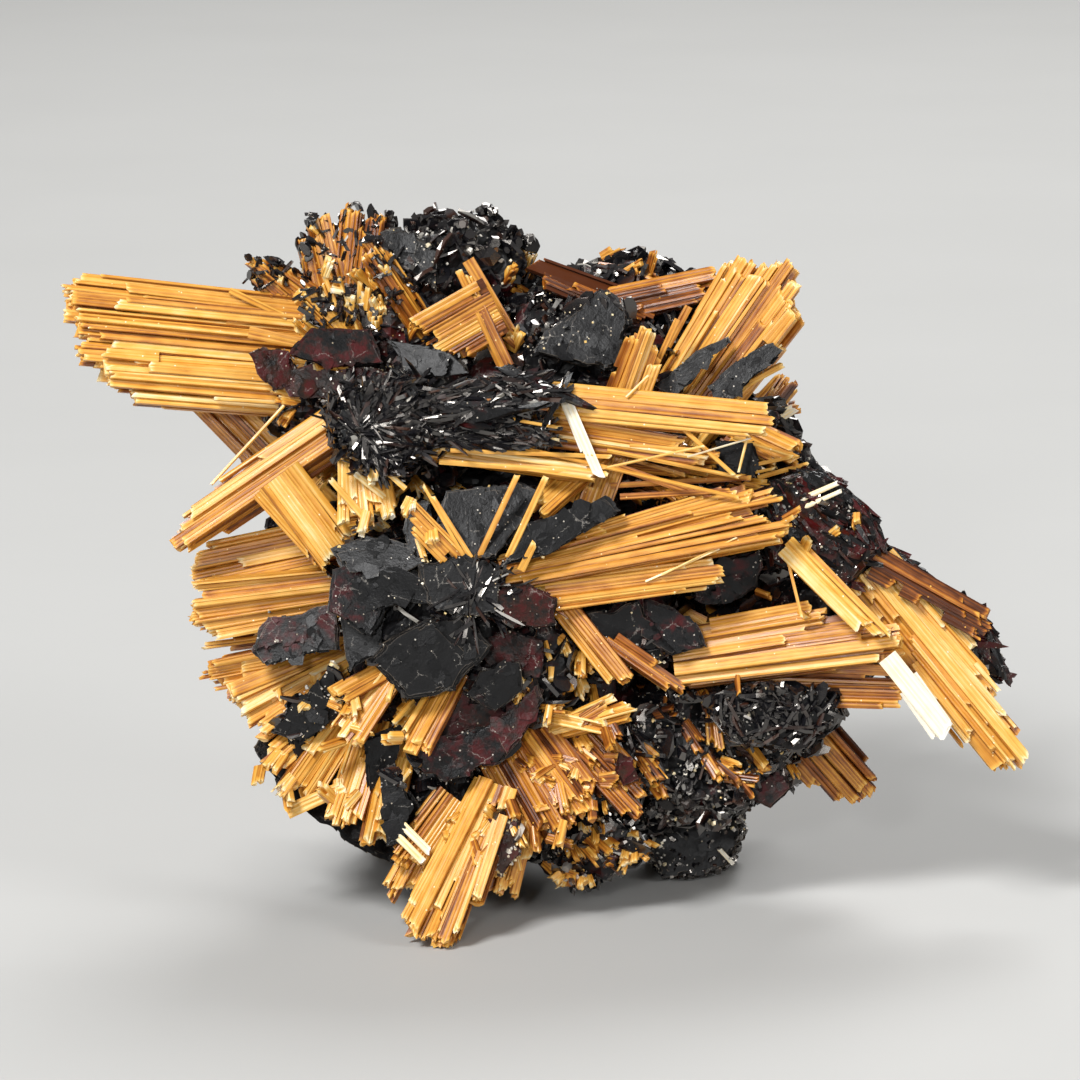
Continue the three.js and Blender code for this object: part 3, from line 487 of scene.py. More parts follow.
def striation_group() -> bpy.types.NodeTree:
    """Grooves along a crystal's grain, and a mask of its broken tip.

    Returns:
        The group.
    """
    tree, given, out = socket_group(
        "lath striation",
        {"Grooves per mm": 10.5, "Grooves along": 0.16, "Tip length": 0.3},
        {"Grooves": "NodeSocketFloat", "Blotches": "NodeSocketFloat", "Tip": "NodeSocketFloat"},
    )
    grain = tree.add("Attribute", attribute_name="grain")
    split = tree.add("SeparateXYZ", {0: grain.outputs["Vector"]})
    across = tree.math("MULTIPLY", split.outputs[0], given["Grooves per mm"])
    along = tree.math("MULTIPLY", split.outputs[1], given["Grooves along"])
    own = tree.math("MULTIPLY", split.outputs[2], 37.0)
    place = tree.add("CombineXYZ", {0: across, 1: along, 2: own})
    fine = tree.add("TexNoise", {"Vector": place.outputs[0], "Scale": 1.0, "Detail": 3.0, "Roughness": 0.6})
    half = tree.math("MULTIPLY", split.outputs[1], 0.5)
    slow = tree.add("CombineXYZ", {0: split.outputs[0], 1: half, 2: own})
    blotch = tree.add("TexNoise", {"Vector": slow.outputs[0], "Scale": 1.4, "Detail": 2.0})
    tip = tree.math("DIVIDE", split.outputs[1], given["Tip length"])
    tip = tree.math("SUBTRACT", 1.0, tip, clamp=True)
    tree.tree.links.new(fine.outputs[0], out["Grooves"])
    tree.tree.links.new(blotch.outputs[0], out["Blotches"])
    tree.tree.links.new(tip, out["Tip"])
    return tree.tree


def relief_group() -> bpy.types.NodeTree:
    """Growth relief and fine scratches on a crystal's face.

    Returns:
        The group.
    """
    tree, given, out = socket_group(
        "face relief",
        {"Size": 900.0, "Fine size": 5200.0},
        {"Height": "NodeSocketFloat", "Cloud": "NodeSocketFloat", "Scratch": "NodeSocketFloat"},
    )
    place = tree.add("TexCoord").outputs["Object"]
    broad, fine = (
        tree.add("TexNoise", {"Vector": place, "Scale": given[size], "Detail": detail, "Roughness": rough})
        for size, detail, rough in (("Size", 5.0, 0.62), ("Fine size", 3.0, 0.7))
    )
    cells = {"Vector": place, "Scale": given["Size"]}
    facets = tree.add("TexVoronoi", cells, feature="F1", distance="CHEBYCHEV")
    waves = {0: fine.outputs[0], 1: 0.35, 2: tree.math("MULTIPLY", broad.outputs[0], 0.6)}
    height = tree.add("Math", waves, operation="MULTIPLY_ADD").outputs[0]
    height = tree.math("ADD", height, tree.math("MULTIPLY", facets.outputs["Distance"], 0.25))
    bent = tree.add("VectorMath", {0: fine.outputs["Color"]}, operation="SCALE")
    bent.inputs["Scale"].default_value = 0.00045
    crooked = tree.add("VectorMath", {0: place, 1: bent.outputs[0]}, operation="ADD")
    cracks = tree.add(
        "TexVoronoi", {"Vector": crooked.outputs[0], "Scale": tree.math("MULTIPLY", given["Size"], 0.55)},
        feature="DISTANCE_TO_EDGE",
    )
    scratch = tree.step(cracks.outputs["Distance"], 0.014, 0.0)
    patchy = tree.step(broad.outputs[0], 0.5, 0.6)
    tree.tree.links.new(height, out["Height"])
    tree.tree.links.new(broad.outputs[0], out["Cloud"])
    tree.tree.links.new(tree.math("MULTIPLY", scratch, patchy), out["Scratch"])
    return tree.tree


def specks_group() -> bpy.types.NodeTree:
    """Small grains that lie on a surface, as a mask and a number of its own for each.

    Returns:
        The group.
    """
    tree, given, out = socket_group(
        "lying grains",
        {"Size": 6500.0, "Amount": 0.12},
        {"Mask": "NodeSocketFloat", "Pick": "NodeSocketFloat"},
    )
    place = tree.add("TexCoord").outputs["Object"]
    cells = tree.add("TexVoronoi", {"Vector": place, "Scale": given["Size"]}, feature="F1")
    pick = tree.add("SeparateColor", {0: cells.outputs["Color"]}).outputs[0]
    chosen = tree.math("LESS_THAN", pick, given["Amount"])
    near = tree.math("LESS_THAN", cells.outputs["Distance"], 0.34)
    tree.tree.links.new(tree.math("MULTIPLY", chosen, near), out["Mask"])
    own = tree.add("SeparateColor", {0: cells.outputs["Color"]}).outputs[1]
    tree.tree.links.new(own, out["Pick"])
    return tree.tree


@dataclass(frozen=True)
class RutileFinish:
    """Golden rutile, from deep amber, which paints the shade between the laths, to cream where they are
    broken, and on to a painted white highlight at the highest tones.
    """

    name: str
    roughness: float = 0.34
    groove_depth: float = 0.03
    deep: tuple[float, float, float] = (0.075, 0.016, 0.0015)
    amber: tuple[float, float, float] = (0.33, 0.095, 0.008)
    gold: tuple[float, float, float] = (0.66, 0.29, 0.032)
    straw: tuple[float, float, float] = (0.82, 0.46, 0.088)
    cream: tuple[float, float, float] = (0.88, 0.69, 0.34)
    painted_highlight_white: tuple[float, float, float] = (0.86, 0.81, 0.69)
    highlight_white_tone: float = 1.5
    streaks_and_groove_shade: float = 0.68
    blotches: float = 0.45
    tips: float = 0.36
    index: float = 1.6

    def material(self, effects: SharedEffects) -> bpy.types.Material:
        """Make the material.

        Args:
            effects: the shared node groups.

        Returns:
            The material, driven by the pieces' tone and grain.
        """
        material, tree = start_material(self.name)
        tone = tree.add("Attribute", attribute_name="tone").outputs["Fac"]
        lines = effects.place(tree, effects.striation)
        share = tone
        # Grooves: streaks along the grain that darken where the bump dips, partly streaky colour and partly
        # painted shade in the striation.
        for effect, weight in (("Grooves", self.streaks_and_groove_shade), ("Blotches", self.blotches)):
            away = tree.math("SUBTRACT", lines[effect], 0.5)
            share = tree.math("ADD", share, tree.math("MULTIPLY", away, weight))
        share = tree.math("ADD", share, tree.math("MULTIPLY", lines["Tip"], self.tips))
        grain = effects.place(tree, effects.specks, Amount=0.012)
        share = tree.math("ADD", share, tree.math("MULTIPLY", grain["Mask"], 0.6))
        # Tones past cream run into a painted white highlight, the glare of flat faces.
        colour = tree.ramp(
            tree.math("MULTIPLY", share, 1 / self.highlight_white_tone, clamp=True),
            [
                (0.0, self.deep), (0.24 / self.highlight_white_tone, self.amber), (0.5 / self.highlight_white_tone, self.gold),
                (0.78 / self.highlight_white_tone, self.straw), (1.05 / self.highlight_white_tone, self.cream), (1.0, self.painted_highlight_white),
            ],
        )
        depth = self.groove_depth * MM
        bump = tree.add("Bump", {"Strength": 0.75, "Distance": depth, "Height": lines["Grooves"]})
        rough = tree.math("ADD", self.roughness - 0.08, tree.math("MULTIPLY", lines["Blotches"], 0.2))
        tree.finish({"Base Color": colour, "Normal": bump.outputs[0], "Roughness": rough, "IOR": self.index})
        return material


@dataclass(frozen=True)
class HematiteFinish:
    """Tabular hematite: near black with growth relief, dark red where it is thin, grains on it, and a painted
    highlight along the rims of its plates.
    """

    name: str
    redness: float = 0.25
    roughness: float = 0.4
    index: float = 1.37
    relief: float = 0.13
    grains: float = 0.022
    dark: tuple[float, float, float] = (0.003, 0.003, 0.0035)
    grey: tuple[float, float, float] = (0.012, 0.0115, 0.012)
    red: tuple[float, float, float] = (0.058, 0.0024, 0.003)
    brown: tuple[float, float, float] = (0.04, 0.013, 0.004)
    rim_highlight: tuple[float, float, float] = (0.22, 0.17, 0.12)

    def material(self, effects: SharedEffects) -> bpy.types.Material:
        """Make the material.

        Args:
            effects: the shared node groups.

        Returns:
            The material. The pieces' tone lightens it, a tone above 1 paints a highlight along the plates'
            rims, and their grain's last number turns it red.
        """
        material, tree = start_material(self.name)
        tone = tree.add("Attribute", attribute_name="tone").outputs["Fac"]
        place = tree.add("Attribute", attribute_name="grain").outputs["Vector"]
        own = tree.add("SeparateXYZ", {0: place}).outputs[2]
        face = effects.place(tree, effects.relief)
        grain = effects.place(tree, effects.specks, Amount=self.grains)
        lit = tree.math("MULTIPLY", tone, face["Cloud"], clamp=True)
        colour = tree.mix(lit, (*self.dark, 1), (*self.grey, 1))
        warm = tree.mix(tree.step(face["Cloud"], 0.4, 0.6), (*self.brown, 1), (*self.red, 1))
        thin = tree.math("ADD", tree.math("MULTIPLY", own, 0.5), tree.math("SUBTRACT", face["Cloud"], 0.5))
        colour = tree.mix(tree.step(thin, 0.52 - self.redness, 0.78 - self.redness), colour, warm)
        colour = tree.mix(tree.math("MULTIPLY", face["Scratch"], 0.55), colour, (0.4, 0.37, 0.33, 1))
        # Painted highlight along the plates' rims, where the tone is raised.
        rim_highlight = tree.math("MULTIPLY", tree.step(tone, 1.0, 1.8), tree.step(face["Cloud"], 0.3, 0.7))
        colour = tree.mix(rim_highlight, colour, (*self.rim_highlight, 1))
        dust = tree.mix(grain["Pick"], (0.6, 0.57, 0.52, 1), (0.3, 0.24, 0.16, 1))
        colour = tree.mix(grain["Mask"], colour, dust)
        bump = tree.add("Bump", {"Strength": 0.7, "Distance": self.relief * MM, "Height": face["Height"]})
        rough = tree.math("ADD", self.roughness - 0.12, tree.math("MULTIPLY", face["Cloud"], 0.3))
        tree.finish({"Base Color": colour, "Normal": bump.outputs[0], "Roughness": rough, "IOR": self.index})
        return material


@dataclass(frozen=True)
class DruseFinish:
    """Small bright hematite crystals with mirror-like faces, the lightest of them painted grey and white as
    glints.
    """

    name: str
    roughness: float = 0.12
    dark: tuple[float, float, float] = (0.006, 0.006, 0.008)
    brown: tuple[float, float, float] = (0.05, 0.014, 0.005)
    grey: tuple[float, float, float] = (0.09, 0.09, 0.095)
    painted_highlight_white: tuple[float, float, float] = (0.7, 0.66, 0.58)
    index: float = 2.6
    shine: tuple[float, float, float] = (1.0, 0.93, 0.85)

    def material(self, effects: SharedEffects) -> bpy.types.Material:
        """Make the material.

        Args:
            effects: the shared node groups.

        Returns:
            The material. Each crystal's tone picks its colour, and the highest tones paint a glint in grey
            and white.
        """
        material, tree = start_material(self.name)
        tone = tree.add("Attribute", attribute_name="tone").outputs["Fac"]
        # The top of the ramp, grey then white, paints glints on the crystals.
        colours = (self.dark, self.dark, self.brown, self.grey, self.painted_highlight_white)
        colour = tree.ramp(tone, list(zip((0.0, 0.74, 0.82, 0.94, 1.0), colours)))
        face = effects.place(tree, effects.relief, Size=1800.0)
        colour = tree.mix(tree.math("MULTIPLY", face["Cloud"], 0.35), colour, (*self.dark, 1))
        bump = tree.add("Bump", {"Strength": 0.35, "Distance": 0.02 * MM, "Height": face["Height"]})
        rough = tree.math("ADD", self.roughness - 0.06, tree.math("MULTIPLY", face["Cloud"], 0.16))
        tree.finish({"Base Color": colour, "Normal": bump.outputs[0], "Roughness": rough, "IOR": self.index})
        tree.finish({"Specular Tint": (*self.shine, 1)})
        return material


@dataclass(frozen=True)
class Lath:
    """One lath or needle: a long crystal with a ridged face and a broken tip."""

    start: Places
    end: Places
    side: Places
    face: Places
    width: float
    height: float
    tone: float

    RIDGE_WIDTH = 0.26
    GROOVE_DEPTH = 0.055
    MOST_RIDGES = 4
    TIP_JAG = 0.3
    JAG_SHARE = 0.2
    SLANT = 0.5
    NARROWED = (0.8, 1.0)
    NEXT_GRAIN = 50
    # Painted light in each lath's tone: a highlight on the ridge tops, shade in the grooves and on the flat
    # back.
    RIDGE_PAINTED_HIGHLIGHT = 0.06
    GROOVE_PAINTED_SHADE = -0.14
    BACK_PAINTED_SHADE = -0.3

    def add_to(self, facets: Facets, rng: np.random.Generator) -> None:
        """Add the lath to a piece.

        Args:
            facets: the piece.
            rng: where the draws come from.
        """
        ridges = int(np.clip(round(self.width / self.RIDGE_WIDTH), 1, self.MOST_RIDGES))
        ring, shade = self.section(ridges, rng)
        offsets = self.side * ring[:, :1] + self.face * ring[:, 1:]
        along = unit(self.end - self.start)
        length = float(np.linalg.norm(self.end - self.start))
        jag = rng.random(len(ring)) * min(self.TIP_JAG, length * self.JAG_SHARE)
        jag = jag + rng.uniform(-self.SLANT, self.SLANT) * ring[:, 0]
        taper = rng.uniform(*self.NARROWED)
        first = self.start + offsets
        last = self.end + offsets * taper - along * jag[:, None]
        n = len(ring)
        faces = prism_faces(n)
        own = rng.random()
        grain = np.zeros((2 * n, 3))
        grain[:, 0] = np.tile(ring[:, 0] + ring[:, 1], 2) + own * self.NEXT_GRAIN
        grain[:n, 1] = length
        grain[:, 2] = own
        facets.add(np.concatenate([first, last]), faces, np.tile(self.tone + shade, 2), grain)

    def section(self, ridges: int, rng: np.random.Generator) -> tuple[Places, np.ndarray]:
        """The cross-section: a flat back, and a front of ridges with grooves between them.

        Args:
            ridges: how many ridges the front has.
            rng: where the draws come from.

        Returns:
            Rows of side and face places in turn, and how much lighter or darker each is: a painted highlight
            on the ridge tops, painted shade in the grooves and on the back.
        """
        count = 2 * ridges + 1
        xs = np.linspace(0.5, -0.5, count) * self.width
        xs[1:-1] += rng.uniform(-0.2, 0.2, count - 2) * self.width / ridges
        low = np.arange(count) % 2 == 0
        depth = min(self.GROOVE_DEPTH, self.height * 0.35)
        ys = self.height / 2 - np.where(low, depth * rng.uniform(0.5, 1.0, count), 0)
        # Groove corners get painted shade and ridge tops a painted highlight.
        shade = np.where(low, self.GROOVE_PAINTED_SHADE, self.RIDGE_PAINTED_HIGHLIGHT)
        ring = np.column_stack([xs, ys])
        back = np.array([(-0.5 * self.width, -self.height / 2), (0.5 * self.width, -self.height / 2)])
        return np.concatenate([ring, back]), np.concatenate([shade, [self.BACK_PAINTED_SHADE] * 2])


@dataclass(frozen=True)
class Sheaf:
    """A flat sheaf of parallel laths in layers, as wide at its root and tip as `width` says."""

    root: Place
    tip: Place
    width: Pair
    thick: float
    roll: float = 0.0
    tone: float = 0.5
    paler: float = 0.0
    gaps: float = 0.07

    LAYER = 0.34
    NARROWEST = 0.14
    SPREAD = 0.85
    WIDEST_SHARE = 0.6
    SHORTEST = 0.5
    BEFORE_ROOT = 0.8
    PAST_TIP = 0.6
    BAND_TONE = 0.34
    TONE_SCATTER = 0.12
    ROOTED = 0.25
    TIP_SCATTER = 0.16
    BROKEN_TIPS = 0.16
    BROKEN = 0.24
    OVERLAP = 1.02
    # Tones above about 1.05 run from cream into the painted highlight white.
    TONES = (0.02, 1.7)

    def axes(self) -> tuple[Places, Places, float, Places, Places]:
        """The directions that the sheaf is built on.

        Returns:
            The root, the direction along the laths, the length, and the side and face directions.
        """
        start, end = seen(self.root), seen(self.tip)
        length = float(np.linalg.norm(end - start))
        along = (end - start) / length
        face = unit(-LOOK + along * np.dot(LOOK, along))
        turn = Matrix.Rotation(math.radians(self.roll), 3, Vector(along))
        face = np.array(turn @ Vector(face))
        return start, along, length, np.cross(face, along), face

    def laths(self, solid: Solid, rng: np.random.Generator) -> Iterator[Lath]:
        """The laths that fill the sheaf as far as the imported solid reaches.

        Args:
            solid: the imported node.
            rng: where the draws come from.

        Yields:
            Each lath.
        """
        start, along, length, side, face = self.axes()
        layers = max(1, round(self.thick / self.LAYER))
        widest = max(self.width)
        seed = int(abs(self.root[0] * 131 + self.tip[1] * 17)) + 7
        for layer in range(layers):
            height = self.thick / layers
            out = ((layer + 0.5) / layers - 0.5) * self.thick
            outer = abs(2 * (layer + 0.5) / layers - 1)
            share = -0.5 + rng.uniform(-0.01, 0.02)
            while share < 0.5:
                width = self.NARROWEST + self.SPREAD * rng.random() ** 1.9
                width = min(width, widest * self.WIDEST_SHARE)
                middle = share + width / widest / 2
                share += width / widest
                if middle > 0.5 or (outer > 0.5 and rng.random() < self.gaps):
                    continue
                band = noise_at((middle * widest * 1.1, layer * 0.45, seed * 3.7), seed)
                first = start - along * self.BEFORE_ROOT + side * self.width[0] * middle + face * out
                thinned = out * (1 - TIP_THINNING)
                ahead = along * (length + self.PAST_TIP)
                last = start + ahead + side * self.width[1] * middle + face * thinned
                tone = self.tone + self.paler * middle + self.BAND_TONE * (band - 0.5)
                tone = tone + rng.normal(0, self.TONE_SCATTER)
                step = noise_at((middle * widest * 0.75, layer * 5.3, seed * 1.9), seed + 3)
                stop = max(0.0, step - 0.5) * outer
                outward = face if out >= 0 else -face
                yield from self.grown(solid, first, last, side, outward, width, height, stop, tone, rng)

    def grown(
        self, solid: Solid, first: Places, last: Places, side: Places, face: Places,
        width: float, height: float, stop: float, tone: float, rng: np.random.Generator,
    ) -> Iterator[Lath]:
        """The stretches of one line of the sheaf that lie in the solid, as laths.

        Args:
            solid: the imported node.
            first: the line's place at the root.
            last: its place past the tip.
            side: the direction across the sheaf.
            face: the direction out of it.
            width: the lath's width.
            height: the layer's thickness.
            stop: how much of its reach it falls short, as a share.
            tone: how light it is.
            rng: where the draws come from.

        Yields:
            Each lath.
        """
        way = unit(last - first)
        for begin, end in solid.spans(first, last):
            if end - begin < self.SHORTEST:
                continue
            reach = end - begin
            begin -= FIT_GAP + self.ROOTED
            end -= abs(rng.normal(0, self.TIP_SCATTER)) + reach * stop
            chance = rng.random()
            if chance < self.BROKEN_TIPS:
                end -= reach * rng.random() ** 2 * 0.6
            elif chance < self.BROKEN:
                begin += reach * rng.random() ** 1.5 * 0.5
            lift = face * rng.normal(0, 0.06)
            lean = (side * rng.normal(0, 0.004) + face * rng.normal(0, 0.003)) * (end - begin)
            turn = rng.normal(0, 0.1)
            tilted = unit(face + side * turn)
            across = unit(np.cross(tilted, way))
            tall = height * rng.uniform(0.85, 1.25)
            start, tip = first + way * begin + lift, first + way * end + lift + lean
            shown = float(np.clip(tone, *self.TONES))
            yield Lath(start, tip, across, tilted, width * self.OVERLAP, tall, shown)


@dataclass
class Spray:
    """A rutile crystal group: its sheaves, grown together."""

    node: str
    sheaves: Sequence[Sheaf]
    slot: Slot = Slot.GOLD
    seed: int = 1

    def build(self) -> Facets:
        """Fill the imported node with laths.

        Returns:
            The piece's form.
        """
        rng = np.random.default_rng(self.seed)
        solid = Solid([self.node])
        facets = Facets()
        for sheaf in self.sheaves:
            for lath in sheaf.laths(solid, rng):
                lath.add_to(facets, rng)
        return facets

    def dress(self, materials: dict[Slot, bpy.types.Material]) -> None:
        """Make the piece and let it stand for its node."""
        piece = self.build().piece(self.node + "_laths", materials[self.slot])
        settle(piece, self.slot, [self.node])


@dataclass(frozen=True)
class Leaf:
    """A tabular crystal: how far back it lies, its thickness, how it leans and its outline as seen."""

    back: float
    thick: float
    lean: Pair
    outline: Sequence[Pair]
    red: float | None = None

    SHEET = 0.26
    NOTCH_STEP = 0.3
    NOTCH = 0.14
    SCALLOP = 0.42
    SCALLOP_LENGTH = 1.15

    def area(self) -> float:
        """The outline's area as seen."""
        return abs(signed_area(np.array(self.outline, dtype=float)))

    def depth_at(self, points: Places, share: float) -> Places:
        """Add to places how far back they lie in the leaf.

        Args:
            points: rows of across and up.
            share: how far they are through the leaf, from 0 at its front to 1 at its back.

        Returns:
            Rows of across, up and back.
        """
        centre = np.mean(self.outline, axis=0)
        depth = self.back + (points - centre) @ np.array(self.lean) + (share - 0.5) * self.thick
        return np.column_stack([points, depth])

    def ragged(self, outline: Places, rng: np.random.Generator, notch: float) -> Places:
        """Break an outline's edges into small steps.

        Args:
            outline: corners in turn.
            rng: where the draws come from.
            notch: the deepest step.

        Returns:
            The outline's new corners.
        """
        centre = outline.mean(axis=0)
        corners = []
        offset = 0.0
        deepest = self.SCALLOP * min(1.0, self.area() / 14)
        for k, corner in enumerate(outline):
            edge = outline[(k + 1) % len(outline)] - corner
            length = float(np.linalg.norm(edge))
            inward = unit(np.array([-edge[1], edge[0]]))
            inward *= np.sign(np.dot(inward, centre - corner)) or 1.0
            steps = max(2, round(length / self.NOTCH_STEP))
            for j in range(steps):
                at = corner + edge * (j + rng.uniform(-0.2, 0.2) * (j > 0)) / steps
                wave = noise_at((*(at / self.SCALLOP_LENGTH), self.back), 5)
                at = at + (centre - at) / np.linalg.norm(centre - at) * deepest * max(0.0, 2 * wave - 0.8)
                corners.append(at + inward * offset)
                if rng.random() < 0.5:
                    offset = notch * rng.random() ** 1.6
                    corners.append(at + inward * offset)
        return np.array(corners)

    def sheets(self, rng: np.random.Generator) -> Iterator[tuple[Places, float, float]]:
        """The thin sheets that the leaf is stacked of, from the back to the front.

        Args:
            rng: where the draws come from.

        Yields:
            A sheet's outline and where it lies in the thickness, at its front and its back.
        """
        outline = np.array(self.outline, dtype=float)
        centre = outline.mean(axis=0)
        count = max(3, round(abs(self.thick) / self.SHEET))
        for k in range(count):
            share = 1 - k / count
            inset = PLATE_BEVEL * (1 - share) * rng.uniform(0.6, 1.1) + 0.012 * rng.random()
            shape = centre + (outline - centre) * (1 - inset)
            if k >= count - 2 and rng.random() < 0.75:
                shape = self.cut(shape, rng)
            yield self.ragged(shape, rng, self.NOTCH * (1 + (k > 0))), share - 1 / count, share

    def cut(self, shape: Places, rng: np.random.Generator) -> Places:
        """Break a part off a sheet along a line, so that the sheet under it shows.

        Args:
            shape: the outline.
            rng: where the draws come from.

        Returns:
            What is left of it.
        """
        centre = shape.mean(axis=0)
        angle = rng.uniform(0, 2 * math.pi)
        normal = np.array([math.cos(angle), math.sin(angle)])
        reach = (shape - centre) @ normal
        limit = reach.max() * rng.uniform(0.25, 0.7)
        kept = []
        for k, point in enumerate(shape):
            after = shape[(k + 1) % len(shape)]
            a, b = reach[k], reach[(k + 1) % len(shape)]
            if a <= limit:
                kept.append(point)
            if (a - limit) * (b - limit) < 0:
                kept.append(point + (after - point) * (limit - a) / (b - a))
        return np.array(kept)


@dataclass
class Plate:
    """A hematite plate or rosette: leaves that are grown together."""

    node: str
    leaves: Sequence[Leaf]
    slot: Slot = Slot.HEMATITE
    red: float = 0.3
    flakes: float = 1.1
    seed: int = 1
    whole: bool = True

    RINGS = (1.0, 0.965, 0.52)
    RELIEF = 0.035
    # Raised tone of the rim corners, which paints a highlight along the plates' edges.
    RIM_HIGHLIGHT_TONE = 1.0

    def build(self) -> Facets:
        """Stack the leaves of thin sheets, with thin flakes on their faces.

        Returns:
            The piece's form.
        """
        rng = np.random.default_rng(self.seed + 500)
        facets = Facets()
        for leaf in self.leaves:
            red = self.red if leaf.red is None else leaf.red
            red = float(np.clip(red + rng.normal(0, 0.1), 0, 1))
            for outline, front, back in leaf.sheets(rng):
                self.sheet(facets, leaf, outline, front, back, red, rng)
            for _ in range(round(self.flakes * leaf.area())):
                self.flake(facets, leaf, red, rng)
        return facets

    def sheet(
        self, facets: Facets, leaf: Leaf, outline: Places, front: float, back: float, red: float,
        rng: np.random.Generator,
    ) -> None:
        """Add one sheet, its two faces slightly uneven.

        Args:
            facets: the piece.
            leaf: the leaf that it belongs to.
            outline: its outline.
            front: where its front face lies in the leaf's thickness.
            back: where its back face lies.
            red: how red it is.
            rng: where the draws come from.
        """
        centre = outline.mean(axis=0)
        n = len(outline)
        rows = []
        for share in (front, back):
            for k, ring in enumerate(self.RINGS):
                flat = centre + (outline - centre) * ring
                placed = leaf.depth_at(flat, share)
                if k:
                    bump = lattice_noise(np.column_stack([flat * 0.9, np.full(n, share * 7)]), self.seed)
                    placed[:, 2] += (bump - 0.5) * self.RELIEF * 2
                rows.append(placed)
            rows.append(leaf.depth_at(centre[None], share))
        points = seen(np.concatenate(rows))
        per_side = len(self.RINGS) * n + 1
        faces = []
        for hand in (0, 1):
            base = hand * per_side
            for k in range(len(self.RINGS) - 1):
                for j in range(n):
                    quad = [base + k * n + j, base + k * n + (j + 1) % n]
                    quad += [base + (k + 1) * n + (j + 1) % n, base + (k + 1) * n + j]
                    faces.append(quad if hand else quad[::-1])
            last = base + (len(self.RINGS) - 1) * n
            for j in range(n):
                tri = [last + j, last + (j + 1) % n, base + per_side - 1]
                faces.append(tri if hand else tri[::-1])
        for j in range(n):
            faces.append([j, (j + 1) % n, per_side + (j + 1) % n, per_side + j][::-1])
        if (signed_area(outline) > 0) == (leaf.thick > 0):
            faces = [face[::-1] for face in faces]
        # Rim corners get a raised tone, which paints a highlight along the sheet's edges.
        rim_highlight = np.zeros(len(points))
        rim_highlight[:n] = rim_highlight[per_side:per_side + n] = self.RIM_HIGHLIGHT_TONE
        facets.add(points, faces, rng.uniform(0.2, 0.8) + rim_highlight, np.array([0, 0, red]))

    def flake(self, facets: Facets, leaf: Leaf, red: float, rng: np.random.Generator) -> None:
        """Lay a thin many-sided flake on the front of a leaf, slightly tilted.

        Args:
            facets: the piece.
            leaf: the leaf that it lies on.
            red: how red it is.
            rng: where the draws come from.
        """
        outline = np.array(leaf.outline, dtype=float)
        centre = outline.mean(axis=0)
        picked = rng.integers(len(outline))
        corner, after = outline[picked], outline[(picked + 1) % len(outline)]
        edge = corner + (after - corner) * rng.random()
        at = centre + (edge - centre) * math.sqrt(rng.random()) * 0.94
        radius = 0.18 + 0.8 * rng.random() ** 2
        sides = int(rng.integers(5, 9))
        angles = (np.arange(sides) + rng.uniform(-0.3, 0.3, sides)) * 2 * math.pi / sides
        ring = np.column_stack([np.cos(angles), np.sin(angles)])
        spread = ring * radius * rng.uniform(0.6, 1.1, (sides, 1))
        share = (1 - PLATE_BEVEL) ** 2
        shape = centre + (at + spread - centre) * share
        top = leaf.depth_at(shape, 0.0)
        outward = math.copysign(1.0, leaf.thick)
        top[:, 2] -= outward * (rng.uniform(0.01, 0.07) + spread @ rng.normal(0, 0.07, 2))
        bottom = leaf.depth_at(shape, 0.3)
        points = seen(np.concatenate([top, bottom]))
        faces = prism_faces(sides)
        if leaf.thick < 0:
            faces = [face[::-1] for face in faces]
        tone = np.concatenate([rng.uniform(0, 0.3) + rng.uniform(0, 0.35, sides), np.full(sides, 0.1)])
        facets.add(points, faces, tone, np.array([0, 0, red]))

    def dress(self, materials: dict[Slot, bpy.types.Material]) -> None:
        """Make the piece and let it stand for its node."""
        piece = self.build().piece(self.node + "_leaves", materials[self.slot])
        settle(piece, self.slot, [self.node] if self.whole else [])


@dataclass(frozen=True)
class DruseZone:
    """A stretch of the front that is thick with small crystals: its middle, its reach and how much."""

    at: Pair
    reach: Pair
    amount: float
    size: float = 0.3


def zone_chances(
    points: Places, normals: Places, zones: Sequence[DruseZone], elsewhere: float, size: float = 0.3
) -> tuple[np.ndarray, np.ndarray]:
    """How likely a crystal is at each point, and how large it is there.

    Args:
        points: rows of places in millimetres.
        normals: the surface's direction at each.
        zones: where crystals are thick, on what is seen from the front.
        elsewhere: how likely one is outside the zones.
        size: how large one is there.

    Returns:
        The chances and the sizes.
    """
    local = points - MIDDLE
    spread = 1 + local @ LOOK / EYE_DISTANCE
    across, up = local @ SIDEWAYS / spread, local @ UPWARD / spread
    chance, sizes = np.full(len(points), elsewhere), np.full(len(points), size)
    for zone in zones:
        away = ((across - zone.at[0]) / zone.reach[0]) ** 2 + ((up - zone.at[1]) / zone.reach[1]) ** 2
        inside = (away < 1) & (normals @ LOOK < 0.3)
        chance = np.where(inside, np.maximum(chance, zone.amount), chance)
        sizes = np.where(inside, zone.size, sizes)
    return chance, sizes


class Scatter:
    """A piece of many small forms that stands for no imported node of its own."""

    name: str
    slot: Slot

    def build(self) -> Facets:
        """The piece's form, which each kind of scatter makes in its own way."""
        raise NotImplementedError

    def dress(self, material: bpy.types.Material) -> None:
        """Make the piece."""
        settle(self.build().piece(self.name, material), self.slot)


